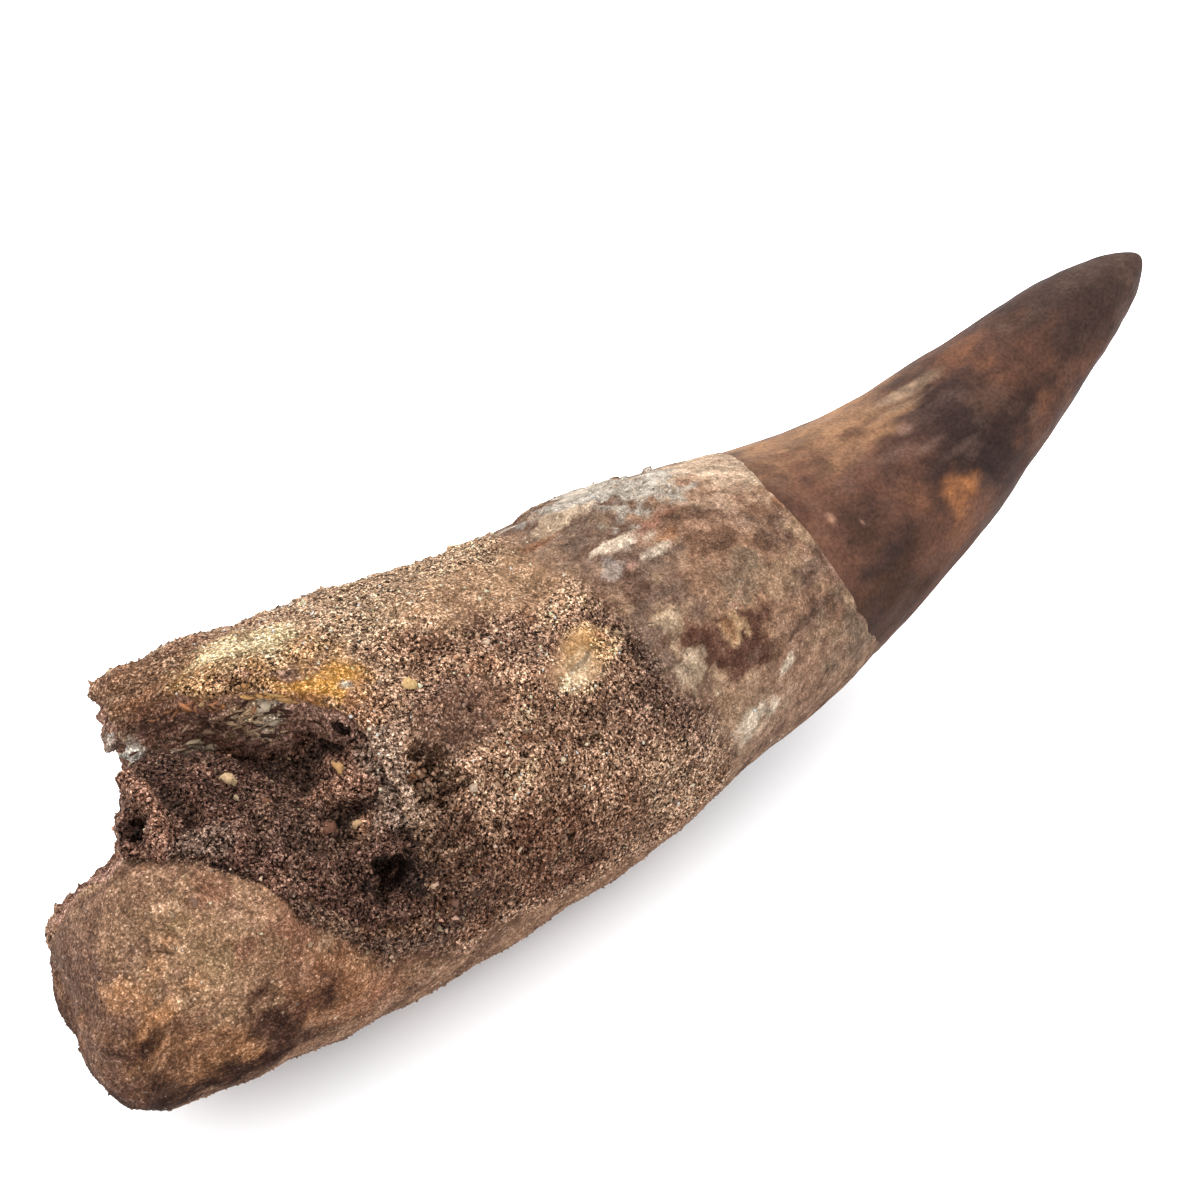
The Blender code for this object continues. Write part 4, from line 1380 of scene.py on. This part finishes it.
def mapRange(tree, value, fromLow, fromHigh, low, high):
    node = addNode(tree, "ShaderNodeMapRange")
    for key, number in (("From Min", fromLow), ("From Max", fromHigh), ("To Min", low), ("To Max", high)):
        node.inputs[key].default_value = number
    tree.links.new(value, node.inputs["Value"])
    return node.outputs["Result"]


def spreadValue(tree, value, low, high):
    # 0..1 noise, mostly near the middle, stretched to a brightness range
    return mapRange(tree, value, 0.3, 0.7, low, high)


def drifted(tree, place, scale, reach):
    # the place, pushed about a little by noise
    drift = addNode(tree, "ShaderNodeTexNoise")
    drift.inputs["Scale"].default_value = scale
    tree.links.new(place, drift.inputs["Vector"])
    moved = addNode(tree, "ShaderNodeVectorMath", operation="MULTIPLY_ADD")
    moved.inputs[1].default_value = [reach] * 3
    tree.links.new(drift.outputs["Color"], moved.inputs[0])
    tree.links.new(place, moved.inputs[2])
    return moved.outputs["Vector"]


def cellNode(tree, place, scale, feature="F1"):
    node = addNode(tree, "ShaderNodeTexVoronoi", feature=feature)
    node.inputs["Scale"].default_value = scale
    tree.links.new(place, node.inputs["Vector"])
    return node


def times(tree, first, second):
    return mathNode(tree, "MULTIPLY", first, second)


def startMaterial(name):
    # a material whose base is the painted colour
    material = bpy.data.materials.new(name)
    material.use_nodes = True
    tree = material.node_tree
    shader = tree.nodes["Principled BSDF"]
    paint = addNode(tree, "ShaderNodeAttribute", attribute_name="paint")
    gained = addNode(tree, "ShaderNodeVectorMath", operation="MULTIPLY")
    gained.inputs[1].default_value = [surfaceLook["paintGain"] * tint for tint in surfaceLook["paintTint"]]
    tree.links.new(paint.outputs["Color"], gained.inputs[0])
    return material, tree, shader, gained.outputs["Vector"]


def scaled(tree, vector, value):
    node = addNode(tree, "ShaderNodeVectorMath", operation="SCALE")
    tree.links.new(vector, node.inputs[0])
    tree.links.new(value, node.inputs["Scale"])
    return node.outputs["Vector"]


def addBump(tree, shader, height, distance):
    bump = addNode(tree, "ShaderNodeBump")
    bump.inputs["Distance"].default_value = distance
    tree.links.new(height, bump.inputs["Height"])
    tree.links.new(bump.outputs["Normal"], shader.inputs["Normal"])


surfaceLook = {
    "paintGain": 0.362,
    "paintTint": (1.04, 1.0, 0.94),
    "fineGrain": 5500.0,         # per metre
    "midGrain": 1300.0,
    "sandCells": 5100.0,
    "sandCalm": 0.4,             # how much of the wider mottling is left where it is sandy
    "cellShades": (0.18, 2.0),       # darkest and lightest sand grain
    "chipCells": (620.0, 1900.0),    # little worn chips on the bare parts
    "chipShades": (0.80, 1.20),
    "gapShade": 0.15,            # painted shade between the grains
    "gapWidth": 0.15,
    "poreGrain": 3500.0,         # pores darkened with painted shade, and pale specks
    "poreShade": 0.03,
    "speckShade": 2.4,
    "sandGain": 2.0,
    "paleSaturation": 0.82,      # the palest grains lose some of their colour
    "paleHue": 0.506,
    "rootRoughness": 0.88,
    "rootShine": 0.04,
    "rootBump": 0.00028,
    "grainRoughness": 0.6,
    "grainShine": 0.1,
    "grainBump": 0.0001,
    "crownRoughness": (0.55, 0.72),
    "crownShine": 0.03,
    "crownBump": 0.00006,
    "crownStreaks": 2.6,
    "crownMottle": 420.0,
    "crownGrain": 3000.0,
}


def sandShade(tree, place):
    # packed grains: a shade for each grain, painted shade in the gaps and pores between them, and pale specks
    scale = surfaceLook["sandCells"]
    moved = drifted(tree, place, scale * 0.5, 1.6 / scale)
    cells = cellNode(tree, moved, scale)
    edges = cellNode(tree, moved, scale, "DISTANCE_TO_EDGE")
    shade = mapRange(tree, cells.outputs["Color"], 0.15, 0.85, *surfaceLook["cellShades"])
    gap = mapRange(tree, edges.outputs["Distance"],
                   0.0, surfaceLook["gapWidth"], surfaceLook["gapShade"], 1.0)
    pore = noiseNode(tree, place, surfaceLook["poreGrain"], 3.0, 0.7)
    dark = mapRange(tree, pore, 0.39, 0.475, surfaceLook["poreShade"], 1.0)
    pale = mapRange(tree, pore, 0.56, 0.68, 1.0, surfaceLook["speckShade"])
    shade = times(tree, times(tree, shade, gap), times(tree, dark, pale))
    return times(tree, shade, surfaceLook["sandGain"]), dark


def skinMaterial(name, sandyBump):
    # root and sandstone: painted ground with packed sand where the skin is sandy
    material, tree, shader, paint = startMaterial(name)
    place = addNode(tree, "ShaderNodeTexCoord").outputs["Object"]
    sandy = addNode(tree, "ShaderNodeAttribute", attribute_name="sandy").outputs["Fac"]
    fine = noiseNode(tree, place, surfaceLook["fineGrain"], 2.0, 0.6)
    mid = noiseNode(tree, place, surfaceLook["midGrain"], 4.0, 0.65)
    sand, pores = sandShade(tree, place)
    for size in surfaceLook["chipCells"]:
        chips = cellNode(tree, drifted(tree, place, size * 1.5, 2.2 / size), size)
        mid = times(tree, mid, mapRange(tree, chips.outputs["Color"], 0.2, 0.8, *surfaceLook["chipShades"]))
    # 1 on smooth ground, the sand's shade where it is sandy
    sand = mathNode(tree, "ADD", 1.0, times(tree, sandy, mathNode(tree, "SUBTRACT", sand, 1.0)))
    calm = mapRange(tree, sandy, 0.0, 1.0, 1.0, surfaceLook["sandCalm"])
    wide = times(tree, calm, mathNode(tree, "SUBTRACT", spreadValue(tree, mid, 0.6, 1.4), 1.0))
    shade = times(tree, spreadValue(tree, fine, 0.6, 1.4), mathNode(tree, "ADD", 1.0, wide))
    shade = times(tree, shade, sand)
    paler = addNode(tree, "ShaderNodeHueSaturation")
    saturation, hue = surfaceLook["paleSaturation"], surfaceLook["paleHue"]
    tree.links.new(mapRange(tree, shade, 1.0, 3.0, 1.0, saturation), paler.inputs["Saturation"])
    tree.links.new(mapRange(tree, shade, 1.0, 3.0, 0.5, hue), paler.inputs["Hue"])
    tree.links.new(scaled(tree, paint, shade), paler.inputs["Color"])
    tree.links.new(paler.outputs["Color"], shader.inputs["Base Color"])
    shader.inputs["Roughness"].default_value = surfaceLook["rootRoughness"]
    shader.inputs["Specular IOR Level"].default_value = surfaceLook["rootShine"]
    height = mathNode(tree, "ADD", times(tree, fine, 0.35), mid)
    height = mathNode(tree, "ADD", height, times(tree, pores, times(tree, sandy, sandyBump)))
    addBump(tree, shader, height, surfaceLook["rootBump"])
    return material


def grainMaterial():
    material, tree, shader, paint = startMaterial("sandGrains")
    place = addNode(tree, "ShaderNodeTexCoord").outputs["Object"]
    fine = noiseNode(tree, place, surfaceLook["fineGrain"], 2.0, 0.6)
    tree.links.new(scaled(tree, paint, spreadValue(tree, fine, 0.7, 1.3)), shader.inputs["Base Color"])
    shader.inputs["Roughness"].default_value = surfaceLook["grainRoughness"]
    shader.inputs["Specular IOR Level"].default_value = surfaceLook["grainShine"]
    addBump(tree, shader, fine, surfaceLook["grainBump"])
    return material


def crownMaterial():
    material, tree, shader, paint = startMaterial("enamel")
    flow = addNode(tree, "ShaderNodeAttribute", attribute_name="flow").outputs["Vector"]
    place = addNode(tree, "ShaderNodeTexCoord").outputs["Object"]
    streaks = noiseNode(tree, flow, surfaceLook["crownStreaks"], 3.0, 0.6)
    mottle = noiseNode(tree, place, surfaceLook["crownMottle"], 4.0, 0.6)
    shade = times(tree, spreadValue(tree, streaks, 0.93, 1.07), spreadValue(tree, mottle, 0.8, 1.2))
    grain = noiseNode(tree, place, surfaceLook["crownGrain"], 2.0, 0.7)
    shade = times(tree, shade, spreadValue(tree, grain, 0.7, 1.3))
    tree.links.new(scaled(tree, paint, shade), shader.inputs["Base Color"])
    low, high = surfaceLook["crownRoughness"]
    tree.links.new(spreadValue(tree, mottle, low, high), shader.inputs["Roughness"])
    shader.inputs["Specular IOR Level"].default_value = surfaceLook["crownShine"]
    addBump(tree, shader, streaks, surfaceLook["crownBump"])
    return material


def plainMaterial(name, rgb, rough):
    material = bpy.data.materials.new(name)
    material.use_nodes = True
    shader = material.node_tree.nodes["Principled BSDF"]
    shader.inputs["Base Color"].default_value = (*rgb, 1)
    shader.inputs["Roughness"].default_value = rough
    return material


def dress():
    root.data.materials.append(skinMaterial("rootSkin", 0.5))
    matrix.data.materials.append(skinMaterial("sandstone", 0.6))
    crown.data.materials.append(crownMaterial())
    sandGrains = grainMaterial()
    for grain in grains:
        grain.data.materials.append(sandGrains)
    onRoot, onMatrix = ("tooth", "root_crust"), ("matrix", "sandstone_matrix")
    places = [(root, onRoot), (crown, ("tooth", "crown_enamel")), (matrix, onMatrix)]
    places += [(grain, onMatrix if grain.name.startswith("sandstone") else onRoot) for grain in grains]
    for piece, (node, slot) in places:
        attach(piece, "root")
        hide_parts(node)
    print("tooth: materials on")


dress()


# table, light and camera

studio = {
    "tableSize": 4.0,
    "table": (0.92, 0.93, 0.95),
    "tableRoughness": 0.9,
    "sky": 2.35,
    "softBox": {"at": (-0.10, 0.28, 0.70), "size": 0.4, "power": 6.0},
}
cameraView = {
    "aim": (-0.003645, 0.00332, 0.01877),
    "distance": 0.17883,
    "lookDown": 36.82,
    "turn": 36.47,
    "roll": -2.66,
    "lens": 62.12,
}


def makeStudio():
    bpy.ops.mesh.primitive_plane_add(size=studio["tableSize"], location=(0, 0, 0))
    table = bpy.context.object
    table.name = "table"
    table.data.materials.append(plainMaterial("tableWhite", studio["table"], studio["tableRoughness"]))
    world = bpy.data.worlds.new("sky")
    world.use_nodes = True
    background = world.node_tree.nodes["Background"]
    background.inputs["Color"].default_value = (1, 1, 1, 1)
    background.inputs["Strength"].default_value = studio["sky"]
    bpy.context.scene.world = world
    light = bpy.data.lights.new("softBox", "AREA")
    light.energy = studio["softBox"]["power"]
    light.size = studio["softBox"]["size"]
    lamp = addObject("softBox", light)
    lamp.location = studio["softBox"]["at"]
    lamp.rotation_euler = (Vector((0, 0, 0)) - lamp.location).to_track_quat("-Z", "Y").to_euler()


def makeCamera():
    data = bpy.data.cameras.new("camera")
    data.lens = cameraView["lens"]
    data.clip_start = 0.005
    camera = addObject("camera", data)
    turn = (Matrix.Rotation(radians(-cameraView["turn"]), 3, "Z")
            @ Matrix.Rotation(radians(90 - cameraView["lookDown"]), 3, "X")
            @ Matrix.Rotation(radians(cameraView["roll"]), 3, "Z"))
    camera.matrix_world = turn.to_4x4()
    camera.location = Vector(cameraView["aim"]) + turn @ Vector((0, 0, cameraView["distance"]))
    bpy.context.scene.camera = camera
    print("tooth: table, light and camera set")


makeStudio()
makeCamera()
bpy.context.scene.view_settings.view_transform = "Standard"
